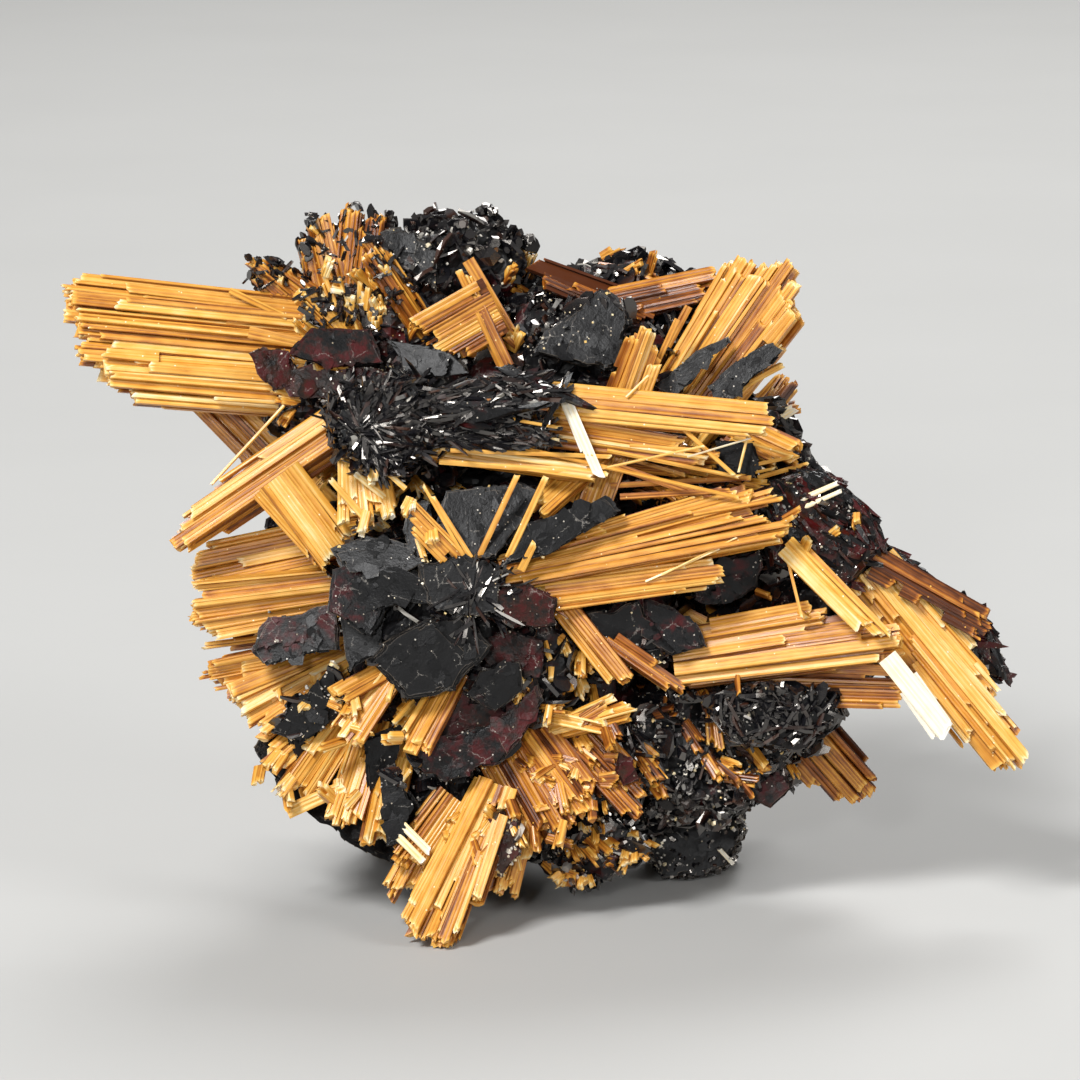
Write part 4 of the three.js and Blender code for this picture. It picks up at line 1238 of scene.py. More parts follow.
@dataclass
class Druse(Scatter):
    """Small bright crystals that stand on surfaces."""

    name: str
    nodes: Sequence[str]
    count: int
    zones: Sequence[DruseZone] = ()
    size: float = 0.32
    seed: int = 1
    everywhere: float = 0.3
    # Crystals whose tone comes near the top of the range are painted grey and white as glints.
    tone: Pair = (0.0, 1.0)
    corners: int = 6
    slot: Slot = Slot.HEMATITE

    def template(self) -> tuple[Places, list[list[int]]]:
        """A many-sided tablet with its larger face down, one unit in radius.

        Returns:
            Its corners and faces.
        """
        n = self.corners
        angles = np.arange(n) * 2 * math.pi / n
        ring = np.column_stack([np.cos(angles), np.sin(angles), np.zeros(n)])
        top = ring * 0.72 + (0, 0, 0.55)
        return np.concatenate([ring - (0, 0, 0.45), top]), prism_faces(n)

    def build(self) -> Facets:
        """Spread the crystals over the nodes, thickest in the zones.

        Returns:
            The piece's form.
        """
        rng = np.random.default_rng(self.seed + 900)
        solid = Solid(self.nodes)
        points, normals = solid.sample(self.count, rng)
        chance, size = zone_chances(points, normals, self.zones, self.everywhere, self.size)
        kept = np.flatnonzero(rng.random(self.count) < chance)
        facets = Facets()
        corners, faces = self.template()
        for k in kept:
            axis = unit(normals[k] * 0.9 + rng.normal(0, 0.55, 3))
            around = unit(np.cross(axis, rng.normal(0, 1, 3)))
            basis = np.array([around, np.cross(axis, around), axis])
            radius = size[k] * rng.lognormal(-0.1, 0.38)
            stretch = np.array([1.0, rng.uniform(0.5, 1.0), rng.uniform(0.4, 1.3)])
            placed = points[k] + (corners * stretch * radius) @ basis
            if facets.inside(placed):
                facets.add(placed, faces, rng.uniform(*self.tone), np.array([0, 0, rng.random()]))
        return facets


@dataclass
class StandingFlakes(Scatter):
    """Thin tablets that stand edge-on on a surface and radiate from a place as seen, or point one way."""

    name: str
    nodes: Sequence[str]
    count: int
    centre: Place | None = None
    way: Pair | None = None
    length: Pair = (0.5, 1.3)
    height: Pair = (0.25, 0.6)
    thick: Pair = (0.05, 0.14)
    red: Pair = (0.0, 0.4)
    slot: Slot = Slot.HEMATITE
    seed: int = 1
    wander: float = 0.12
    lying: float = 0.55
    zones: Sequence[DruseZone] = ()

    def template(self) -> tuple[Places, list[list[int]]]:
        """An eight-sided tablet, one unit in each half-length.

        Returns:
            Its corners and faces.
        """
        angles = np.arange(8) * math.pi / 4 + 0.2
        ring = np.column_stack([np.cos(angles), np.sin(angles)])
        low, high = (np.column_stack([ring, np.full(8, z)]) for z in (-1, 1))
        return np.concatenate([low, high]), prism_faces(8)

    def build(self) -> Facets:
        """Stand the tablets on the nodes.

        Returns:
            The piece's form.
        """
        rng = np.random.default_rng(self.seed + 2100)
        points, normals = Solid(self.nodes).sample(self.count, rng)
        if self.zones:
            kept = zone_chances(points, normals, self.zones, 0.0)[0] > rng.random(self.count)
            points, normals = points[kept], normals[kept]
        corners, faces = self.template()
        facets = Facets()
        for point, normal in zip(points, normals):
            if self.centre is not None:
                along = point - seen(self.centre)
            elif self.way is not None:
                along = SIDEWAYS * self.way[0] + UPWARD * self.way[1] + rng.normal(0, 0.25, 3)
            else:
                along = rng.normal(0, 1, 3)
            along = unit(unit(along - normal * np.dot(along, normal)) + rng.normal(0, self.wander, 3))
            across = unit(np.cross(normal, along))
            turn = rng.normal(0, self.lying)
            up = unit(normal * math.cos(turn) + across * math.sin(turn))
            flat = np.cross(along, up)
            size = np.array([rng.uniform(*reach) for reach in (self.length, self.height, self.thick)])
            shape = corners * rng.uniform(0.75, 1.1, (16, 1)) ** (1, 1, 0)
            placed = point + (shape * size) @ np.array([along, up, flat])
            if facets.inside(placed):
                # Corners on the upper edge get a higher tone, a painted highlight along the tops of the
                # flakes.
                tone = rng.uniform(0, 0.76) + np.where(shape[:, 1] > 0.2, rng.uniform(0, 0.3), 0)
                facets.add(placed, faces, tone, np.array([0, 0, rng.uniform(*self.red)]))
        return facets


@dataclass(frozen=True)
class Tuft:
    """A field of small sheaves as seen: its middle and reach, the way they point and how many."""

    at: Pair
    reach: Pair
    way: Pair
    count: int
    length: Pair = (1.4, 3.0)
    width: Pair = (0.6, 1.5)
    tone: float = 0.55
    wander: float = 0.3
    anywhere: bool = False
    side: Side = Side.FRONT


@dataclass
class SmallSheaves(Scatter):
    """Small rutile sheaves and chips that fill the room between the large crystals."""

    name: str
    tufts: Sequence[Tuft]
    ground: Sequence[str]
    seed: int = 1
    slot: Slot = Slot.GOLD

    def build(self) -> Facets:
        """Stand small sheaves on whatever is seen at their places.

        Returns:
            The piece's form.
        """
        rng = np.random.default_rng(self.seed + 1300)
        everything = Solid(sorted(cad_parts))
        ground = Solid(self.ground)
        facets = Facets()
        for tuft in self.tufts:
            for _ in range(tuft.count):
                self.stand(facets, tuft, everything, ground, rng)
        return facets

    def stand(
        self, facets: Facets, tuft: Tuft, everything: Solid, ground: Solid, rng: np.random.Generator
    ) -> None:
        """Add one small sheaf if its place is free.

        Args:
            facets: the piece.
            tuft: the field that it belongs to.
            everything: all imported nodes.
            ground: the nodes that it may stand on.
            rng: where the draws come from.
        """
        angle, far = rng.uniform(0, 2 * math.pi), math.sqrt(rng.random())
        across = tuft.at[0] + math.cos(angle) * far * tuft.reach[0]
        up = tuft.at[1] + math.sin(angle) * far * tuft.reach[1]
        way = unit(np.array(tuft.way) + rng.normal(0, tuft.wander, 2))
        length, width = rng.uniform(*tuft.length), rng.uniform(*tuft.width)
        tone, roll, rise = tuft.tone + rng.normal(0, 0.1), rng.normal(0, 24), rng.uniform(0.05, 0.45)
        found, first = ground.depth(across, up, tuft.side), everything.depth(across, up, tuft.side)
        if first is None or not tuft.anywhere and (found is None or abs(found - first) > NUDGE):
            return
        outward = -1 if tuft.side is Side.FRONT else 1
        depth = first - outward * 0.25
        end = (across + way[0] * length, up + way[1] * length, depth + outward * (rise * length + 0.3))
        sheaf = Sheaf((across, up, depth), end, (width * 0.75, width), rng.uniform(0.35, 0.8), roll, tone)
        small = free_sheaf(sheaf, rng)
        if all(facets.inside(lath.end) for lath in small):
            for lath in small:
                lath.add_to(facets, rng)


def free_sheaf(sheaf: Sheaf, rng: np.random.Generator) -> list[Lath]:
    """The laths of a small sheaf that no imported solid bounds.

    Args:
        sheaf: the sheaf.
        rng: where the draws come from.

    Returns:
        Its laths.
    """
    start, along, length, side, face = sheaf.axes()
    laths = []
    layers = max(1, round(sheaf.thick / Sheaf.LAYER))
    for layer in range(layers):
        out = ((layer + 0.5) / layers - 0.5) * sheaf.thick
        share = -0.5
        while share < 0.5:
            width = min(0.1 + 0.34 * rng.random() ** 2, max(sheaf.width))
            middle = share + width / max(sheaf.width) / 2
            share += width / max(sheaf.width)
            first = start + side * sheaf.width[0] * middle + face * out
            reach = length * (1 - 0.55 * rng.random() ** 1.5)
            last = start + along * reach + side * sheaf.width[1] * middle + face * out
            tone = float(np.clip(sheaf.tone + rng.normal(0, 0.14), 0.02, 1.4))
            laths.append(Lath(first, last, side, face, width * 1.05, sheaf.thick / layers, tone))
    return laths


@dataclass(frozen=True)
class Blade:
    """A single thin lath that lies over the others: its ends as seen, its width and its tone."""

    SUNK: ClassVar[float] = 0.08

    root: Place
    tip: Place
    width: float = 0.35
    tone: float = 0.6
    thick: float = 0.16

    def seated(self, ground: Solid) -> "Blade":
        """Move the blade straight back until it touches what lies behind it.

        Args:
            ground: the solids behind it.

        Returns:
            The blade where it lies.
        """
        root, tip = np.array(self.root), np.array(self.tip)
        gaps = []
        for share in np.linspace(0.04, 0.96, 12):
            across, up, back = root + (tip - root) * share
            behind = ground.depth(across, up, Side.FRONT)
            if behind is not None:
                gaps.append(behind - back)
        back = max(min(gaps, default=0.0) + self.SUNK, 0.0)
        return replace(self, root=tuple(root + (0, 0, back)), tip=tuple(tip + (0, 0, back)))

    def lath(self) -> Lath:
        """The blade as a lath.

        Returns:
            A lath that lies flat, as seen from the front.
        """
        sheaf = Sheaf(self.root, self.tip, (self.width, self.width), self.thick, 0, self.tone)
        start, along, length, side, face = sheaf.axes()
        return Lath(start, start + along * length, side, face, self.width, self.thick, self.tone)


@dataclass
class SingleBlades(Scatter):
    """The single blades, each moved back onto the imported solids."""

    name: str
    blades: Sequence[Blade]
    seed: int = 77
    slot: Slot = Slot.GOLD

    def build(self) -> Facets:
        """Seat the blades in turn.

        Returns:
            The piece's form.
        """
        rng = np.random.default_rng(self.seed)
        ground = Solid(list(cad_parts))
        facets = Facets()
        for blade in self.blades:
            blade.seated(ground).lath().add_to(facets, rng)
        return facets


@dataclass
class Body:
    """The drusy hematite body, rough all over."""

    node: str = "hematite_body"
    voxel: float = 0.42
    seed: int = 4

    def dress(self, materials: dict[Slot, bpy.types.Material]) -> None:
        """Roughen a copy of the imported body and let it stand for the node.

        Args:
            materials: the finish of each slot.
        """
        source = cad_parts[self.node]
        piece = bpy.data.objects.new("hematite_body_rough", source.data.copy())
        bpy.context.scene.collection.objects.link(piece)
        remesh = piece.modifiers.new("remesh", "REMESH")
        remesh.mode = "VOXEL"
        remesh.voxel_size = self.voxel * MM
        evaluated = piece.evaluated_get(bpy.context.evaluated_depsgraph_get())
        mesh = bpy.data.meshes.new_from_object(evaluated)
        piece.modifiers.clear()
        piece.data = mesh
        places = np.zeros(len(mesh.vertices) * 3)
        normals = np.zeros(len(mesh.vertices) * 3)
        mesh.vertices.foreach_get("co", places)
        mesh.vertices.foreach_get("normal", normals)
        places, normals = places.reshape(-1, 3) / MM, normals.reshape(-1, 3)
        lump = lattice_noise(places * 0.55, self.seed) - 0.62
        step = np.floor(lattice_noise(places * 0.8, self.seed + 1) * 6) / 6 - 0.5
        fine = lattice_noise(places * 2.2, self.seed + 2) - 0.5
        flat = np.where(places[:, 2] < 0.3, 0.0, 1.0)
        moved = places + normals * ((0.9 * lump + 0.5 * step + 0.3 * fine) * flat)[:, None]
        moved = np.clip(moved, BOX_LOW / MM, BOX_HIGH / MM)
        mesh.vertices.foreach_set("co", (moved * MM).astype(np.float32).ravel())
        grain = np.column_stack([places[:, :2], lattice_noise(places * 0.3, 9)])
        for name, kind, key, values in (
            ("tone", "FLOAT", "value", lattice_noise(places * 1.1, self.seed + 3)),
            ("grain", "FLOAT_VECTOR", "vector", grain.ravel()),
        ):
            attribute = mesh.attributes.get(name) or mesh.attributes.new(name, kind, "POINT")
            attribute.data.foreach_set(key, values.astype(np.float32))
        mesh.polygons.foreach_set("use_smooth", [False] * len(mesh.polygons))
        mesh.materials.clear()
        mesh.materials.append(materials[Slot.HEMATITE])
        mesh.update()
        settle(piece, Slot.HEMATITE, [self.node])


@dataclass
class Studio:
    """A plain pale floor, soft lights and the camera."""

    floor_size: float = 4.0
    lights: Sequence[tuple[Place, float, float]] = (
        ((-0.3, -0.4, 0.55), 0.2, 6.0),
        ((0.5, -0.3, 0.3), 0.25, 1.4),
        ((0.1, 0.45, 0.5), 0.3, 3.2),
        ((-0.1, -0.6, 0.22), 0.05, 0.9),
    )

    def build(self) -> None:
        """Make the floor, the lights, the world and the camera."""
        self.floor()
        target = Vector(MIDDLE * MM)
        for k, (place, size, power) in enumerate(self.lights):
            lamp = bpy.data.lights.new(f"softbox_{k}", "AREA")
            lamp.size = size
            lamp.energy = power
            holder = bpy.data.objects.new(lamp.name, lamp)
            holder.location = place
            holder.rotation_euler = (target - holder.location).to_track_quat("-Z", "Y").to_euler()
            bpy.context.scene.collection.objects.link(holder)
        world = bpy.data.worlds.new("studio")
        world.use_nodes = True
        background = world.node_tree.nodes["Background"]
        background.inputs[0].default_value = (1.0, 0.97, 0.93, 1)
        background.inputs[1].default_value = 0.14
        bpy.context.scene.world = world
        self.tones()
        self.camera()

    def floor(self) -> None:
        """Make the floor, with a faint unevenness in its paint."""
        mesh = bpy.data.meshes.new("floor")
        half = self.floor_size / 2
        corners = [(-half, -half, 0), (half, -half, 0), (half, half, 0), (-half, half, 0)]
        mesh.from_pydata(corners, [], [(0, 1, 2, 3)])
        floor = bpy.data.objects.new("floor", mesh)
        bpy.context.scene.collection.objects.link(floor)
        material, tree = start_material("pale floor")
        place = tree.add("TexCoord").outputs["Object"]
        mottle = tree.add("TexNoise", {"Vector": place, "Scale": 30.0, "Detail": 4.0})
        colour = tree.mix(mottle.outputs[0], (0.42, 0.42, 0.41, 1), (0.45, 0.45, 0.44, 1))
        tree.finish({"Base Color": colour, "Roughness": 0.75})
        mesh.materials.append(material)
        floor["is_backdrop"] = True

    def tones(self) -> None:
        """Keep the golden colours as full in the picture as they are in the finishes."""
        bpy.context.scene.view_settings.view_transform = "Standard"

    def camera(self) -> None:
        """Set the camera where the photographer's eye was."""
        data = bpy.data.cameras.new("eye")
        data.lens = LENS
        data.sensor_width = SENSOR
        data.clip_start = 0.01
        camera = bpy.data.objects.new("eye", data)
        camera.location = Vector((MIDDLE - LOOK * EYE_DISTANCE) * MM)
        turn = Matrix((SIDEWAYS, UPWARD, -LOOK)).transposed()
        camera.rotation_euler = turn.to_euler()
        bpy.context.scene.collection.objects.link(camera)
        bpy.context.scene.camera = camera


SHEAVES: dict[str, list[Sheaf]] = {
    "left_long": [
        Sheaf((-11, 11.1, -1), (-30.1, 12.9, -3), (7, 7.8), 3, 14, 0.6, 0.1),
        Sheaf((-14, 12.6, -3), (-22.4, 13.8, -3.9), (0.9, 1.1), 0.9, 20, 0.62),
    ],
    "left_rear": [Sheaf((-13.8, 2.1, 1.6), (-21.4, 9.8, 1.8), (3.2, 3.2), 1.6, -20, 0.52)],
    "left_diagonal": [Sheaf((-12.4, 7.2, -5.6), (-23.3, -0.1, -6), (2.5, 2.4), 2.1, 22, 0.52)],
    "left_fan_upper": [
        Sheaf((-11.6, 0, -3.2), (-21.9, -2.1, -3.8), (3.2, 3.3), 1.7, 14, 0.62),
        Sheaf((-11, -2.9, -4.6), (-22, -4.5, -5.4), (2.6, 3.8), 2.2, -8, 0.62),
    ],
    "left_fan_lower": [
        Sheaf((-12.4, -5.2, -3.4), (-22, -6.3, -4), (1.4, 1.7), 1.2, 12, 0.64),
        Sheaf((-12.4, -6.9, -4), (-21.4, -8.6, -4.8), (2.2, 1.9), 1.3, -14, 0.66),
        Sheaf((-12.4, -7.6, -4.2), (-18.7, -11.2, -5.4), (1.6, 5), 1.5, 16, 0.64),
    ],
    "left_cross": [
        Sheaf((-16, 3.6, -7.9), (-12.5, -1.1, -7.5), (2.6, 2.7), 0.9, -12, 0.62),
        Sheaf((-17.2, 2.6, -7.6), (-13.4, -1.7, -7.2), (1, 0.9), 0.7, 0, 0.6),
    ],
    "below_middle_rosette": [Sheaf((-11.2, 5, -7.6), (-10.8, 0.8, -9), (2.4, 3.8), 1.1, 10, 0.8)],
    "centre_short": [Sheaf((3.4, 5.2, -6.9), (-1.3, 0.8, -9.2), (2, 1.5), 0.8, 24, 0.62)],
    "crossing_band": [Sheaf((3.1, 2.6, -6.4), (7.1, 13.4, -7.2), (2.7, 2.6), 1.2, 12, 0.56)],
    "upper_right_fan": [
        Sheaf((8.1, 6.7, -2.6), (15.6, 17.5, -4.2), (4.4, 6.8), 2.3, -18, 0.62),
        Sheaf((10.4, 8, -3.6), (17.7, 11.2, -5.2), (1.2, 2.6), 1.4, 20, 0.52),
    ],
    "level_band_low": [Sheaf((-6.4, 5.5, -8.4), (4.4, 4, -9.6), (1.1, 1.3), 0.7, -20, 0.7)],
    "level_band": [
        Sheaf((-1.2, 8.7, -8.2), (14.6, 7.2, -9.2), (2, 1.9), 1, -10, 0.7),
        # Tone 1.6 paints this blade's glare white.
        Sheaf((1.4, 9.2, -8.8), (3.6, 3.8, -10), (0.65, 0.7), 0.5, 0, 1.6, 0, 0),
        Sheaf((0.3, 6.8, -7.9), (11.4, 5.2, -8.2), (1.9, 1.3), 0.9, 14, 0.6),
    ],
    "right_large": [
        Sheaf((-1.9, -2, -9.2), (15.4, 2.2, -8.4), (2, 4.6), 2.1, -16, 0.56),
        Sheaf((-0.4, -3.5, -9.2), (11.8, -1.9, -9), (2, 1.8), 1.1, 10, 0.58),
    ],
    "right_lower": [
        Sheaf((9, -7.4, -5.6), (22.9, -5.3, -7.4), (3.4, 4.5), 2.2, -14, 0.57),
        Sheaf((12, -8.9, -5.2), (23.4, -9.3, -6), (2.4, 2.3), 1.8, 10, 0.52),
    ],
    "right_diagonal": [Sheaf((20.3, -2.7, -4.4), (30, -14.5, -5.2), (4.6, 6), 2.2, -18, 0.66)],
    "right_bright_laths": [Sheaf((15.4, -0.3, -7.2), (21.6, -6.6, -9.4), (1.6, 1.7), 0.6, 0, 0.84)],
    # Tone 1.6 paints this blade's glare white.
    "pale_blade_lower": [Sheaf((21.9, -7.5, -7.3), (25.2, -12.2, -8), (1.3, 1.5), 0.5, 0, 1.6, 0, 0)],
    "right_low_amber": [Sheaf((14.8, -10.2, -0.6), (20.2, -16.4, 0.2), (3.8, 3.8), 2, 24, 0.26)],
    "centre_lower": [
        Sheaf((1.7, -4.4, -8.2), (5.5, -9.2, -9.6), (1.5, 1.6), 0.8, 20, 0.46),
        Sheaf((2.2, -4.6, -8), (9.2, -9.4, -8.6), (1.2, 1.6), 0.8, -16, 0.4),
    ],
    "pale_fan": [
        Sheaf((1.4, -11.6, -7.4), (6.3, -9.9, -9.6), (0.9, 2.4), 0.9, -14, 0.8),
        Sheaf((0.4, -11, -7.4), (4.6, -11.9, -9.4), (0.8, 0.7), 0.8, 0, 0.84),
    ],
    "lower_field": [
        Sheaf((-2.6, -13.2, -6.4), (0.6, -19, -8), (2.5, 2.8), 1.8, 22, 0.34),
        Sheaf((-0.6, -12.4, -6.6), (3, -17.4, -8.4), (2.6, 2.8), 1.8, 0, 0.32),
        Sheaf((1.8, -11.9, -6.2), (6.6, -17, -7.6), (2.4, 2.8), 1.8, -22, 0.3),
    ],
    "bottom_fan": [Sheaf((-3, -16, -7.6), (-7.1, -25.3, -11.9), (2.4, 4.7), 2.2, 12, 0.52)],
    "bottom_short": [Sheaf((-1.4, -18.2, -6.4), (-2.6, -22.3, -7.4), (1.8, 2.6), 1.2, -24, 0.58)],
    "bottom_left_short": [
        Sheaf((-7, -18.4, -7.4), (-9.2, -22.6, -8), (1.6, 2.2), 1.1, 22, 0.6),
        Sheaf((-6, -16.4, -7.8), (-8.8, -20.4, -9), (1.8, 2.4), 1.1, -14, 0.6),
    ],
    "lower_left_field": [
        Sheaf((-13.2, -10.4, -4.4), (-17.7, -14, -6), (2, 2.4), 1.4, 24, 0.6),
        Sheaf((-12.2, -11.4, -5.2), (-15.4, -16.2, -6.8), (2, 2.6), 1.6, -14, 0.64),
        Sheaf((-10.4, -12, -5.6), (-12.4, -18.2, -8), (2.2, 2.6), 1.6, 22, 0.62),
        Sheaf((-8.8, -13, -6.4), (-10.2, -19.5, -8.6), (2, 2.2), 1.4, -20, 0.6),
    ],
    "under_rosette_left": [
        Sheaf((-9, -7.8, -7.6), (-12.4, -12.6, -8.8), (1.6, 2.4), 1.2, 14, 0.64),
        Sheaf((-9, -7.8, -7.6), (-13, -10, -8.6), (1.4, 1.6), 1, 14, 0.66),
    ],
    "under_rosette_right": [Sheaf((-5.6, -8.8, -8.8), (-8.2, -13.4, -10.6), (1.6, 2.2), 1, 16, 0.58)],
    "upper_left_orange": [Sheaf((-7.8, 14.2, -3.6), (-10.8, 18.8, -5.4), (1.4, 1.5), 0.9, 26, 0.42)],
    "comb": [
        Sheaf((-2.4, 11.3, -5.6), (-5.2, 17.1, -6.2), (1.1, 1.1), 0.9, 0, 0.5),
        Sheaf((-3.6, 14.2, -5.9), (-7.4, 12, -6.4), (3.8, 4), 0.8, -12, 0.34, 0, 0.5),
    ],
    "upper_left_pale": [
        Sheaf((-11.6, 12.2, -4.2), (-15, 15.7, -5.8), (1.9, 2), 1, 20, 0.74),
        Sheaf((-11.6, 12.2, -4.4), (-13.4, 16.8, -5.6), (1.4, 1.6), 0.9, -18, 0.72),
    ],
    "top_left_prisms": [
        Sheaf((-12.6, 14.4, -0.5), (-14, 20.4, -0.8), (2.6, 3), 1.8, 18, 0.36, 0, 0.25),
        Sheaf((-11.6, 14.6, -0.6), (-10.8, 20.9, -1), (2.4, 3), 1.6, -20, 0.3, 0, 0.25),
        Sheaf((-13, 13.4, -0.6), (-18.3, 17.6, -1.4), (3, 1.4), 2, 12, 0.36, 0, 0.2),
    ],
    "top_band": [
        Sheaf((4, 14.6, -1.6), (12.4, 16.4, -2.4), (2.4, 2), 1.6, -24, 0.12),
        Sheaf((6, 14.6, -1.8), (-0.6, 17.2, -2.2), (2, 1.4), 1.4, 20, 0.14),
    ],
    "right_top_short": [Sheaf((11.6, 7.2, -3.6), (16.2, 5, -5), (2, 2.4), 1.3, -18, 0.5)],
    "ridge_prism": [Sheaf((20.6, -1.4, -5), (28.3, -5.7, -5), (1.9, 1.8), 1.6, 0, 0.14)],
    "rosette_blade": [Sheaf((-5.3, -1.2, -11), (-8.9, 2.5, -11.3), (1.5, 1.5), 0.8, 0, 0.56)],
    "rear_left": [
        Sheaf((-7, 6.4, 8), (-19, 12.6, 14), (3, 4.6), 1.9, 30, 0.56),
        Sheaf((-7, 6.4, 8), (-18.4, 4.4, 13.4), (3, 3.6), 1.7, -30, 0.5),
    ],
    "rear_up": [Sheaf((2, 6, 11), (7, 15.6, 17), (3, 5), 1.9, -34, 0.5)],
    "rear_right": [Sheaf((6, 1, 12), (15.2, 4, 19.4), (2.6, 4.2), 1.7, 48, 0.56)],
    "rear_low_right": [Sheaf((6, -5, 11), (14.6, -10.6, 16.6), (3, 4.6), 1.9, -38, 0.5)],
    "rear_low_left": [Sheaf((-5, -3, 12), (-14.6, -7.8, 17.6), (3, 4.8), 1.9, 40, 0.58)],
    "rear_centre": [Sheaf((-2, 2.4, 14), (-9.4, 3.6, 21), (2, 3.2), 1.5, -50, 0.52)],
}

SHEAF_SLOTS: dict[str, Slot] = {
    **dict.fromkeys(("pale_blade_lower", "pale_fan", "right_bright_laths", "upper_left_pale"), Slot.PALE),
    **dict.fromkeys(
        ("left_rear", "right_low_amber", "lower_field", "comb", "upper_left_orange", "top_left_prisms",
         "top_band", "ridge_prism"),
        Slot.AMBER,
    ),
}

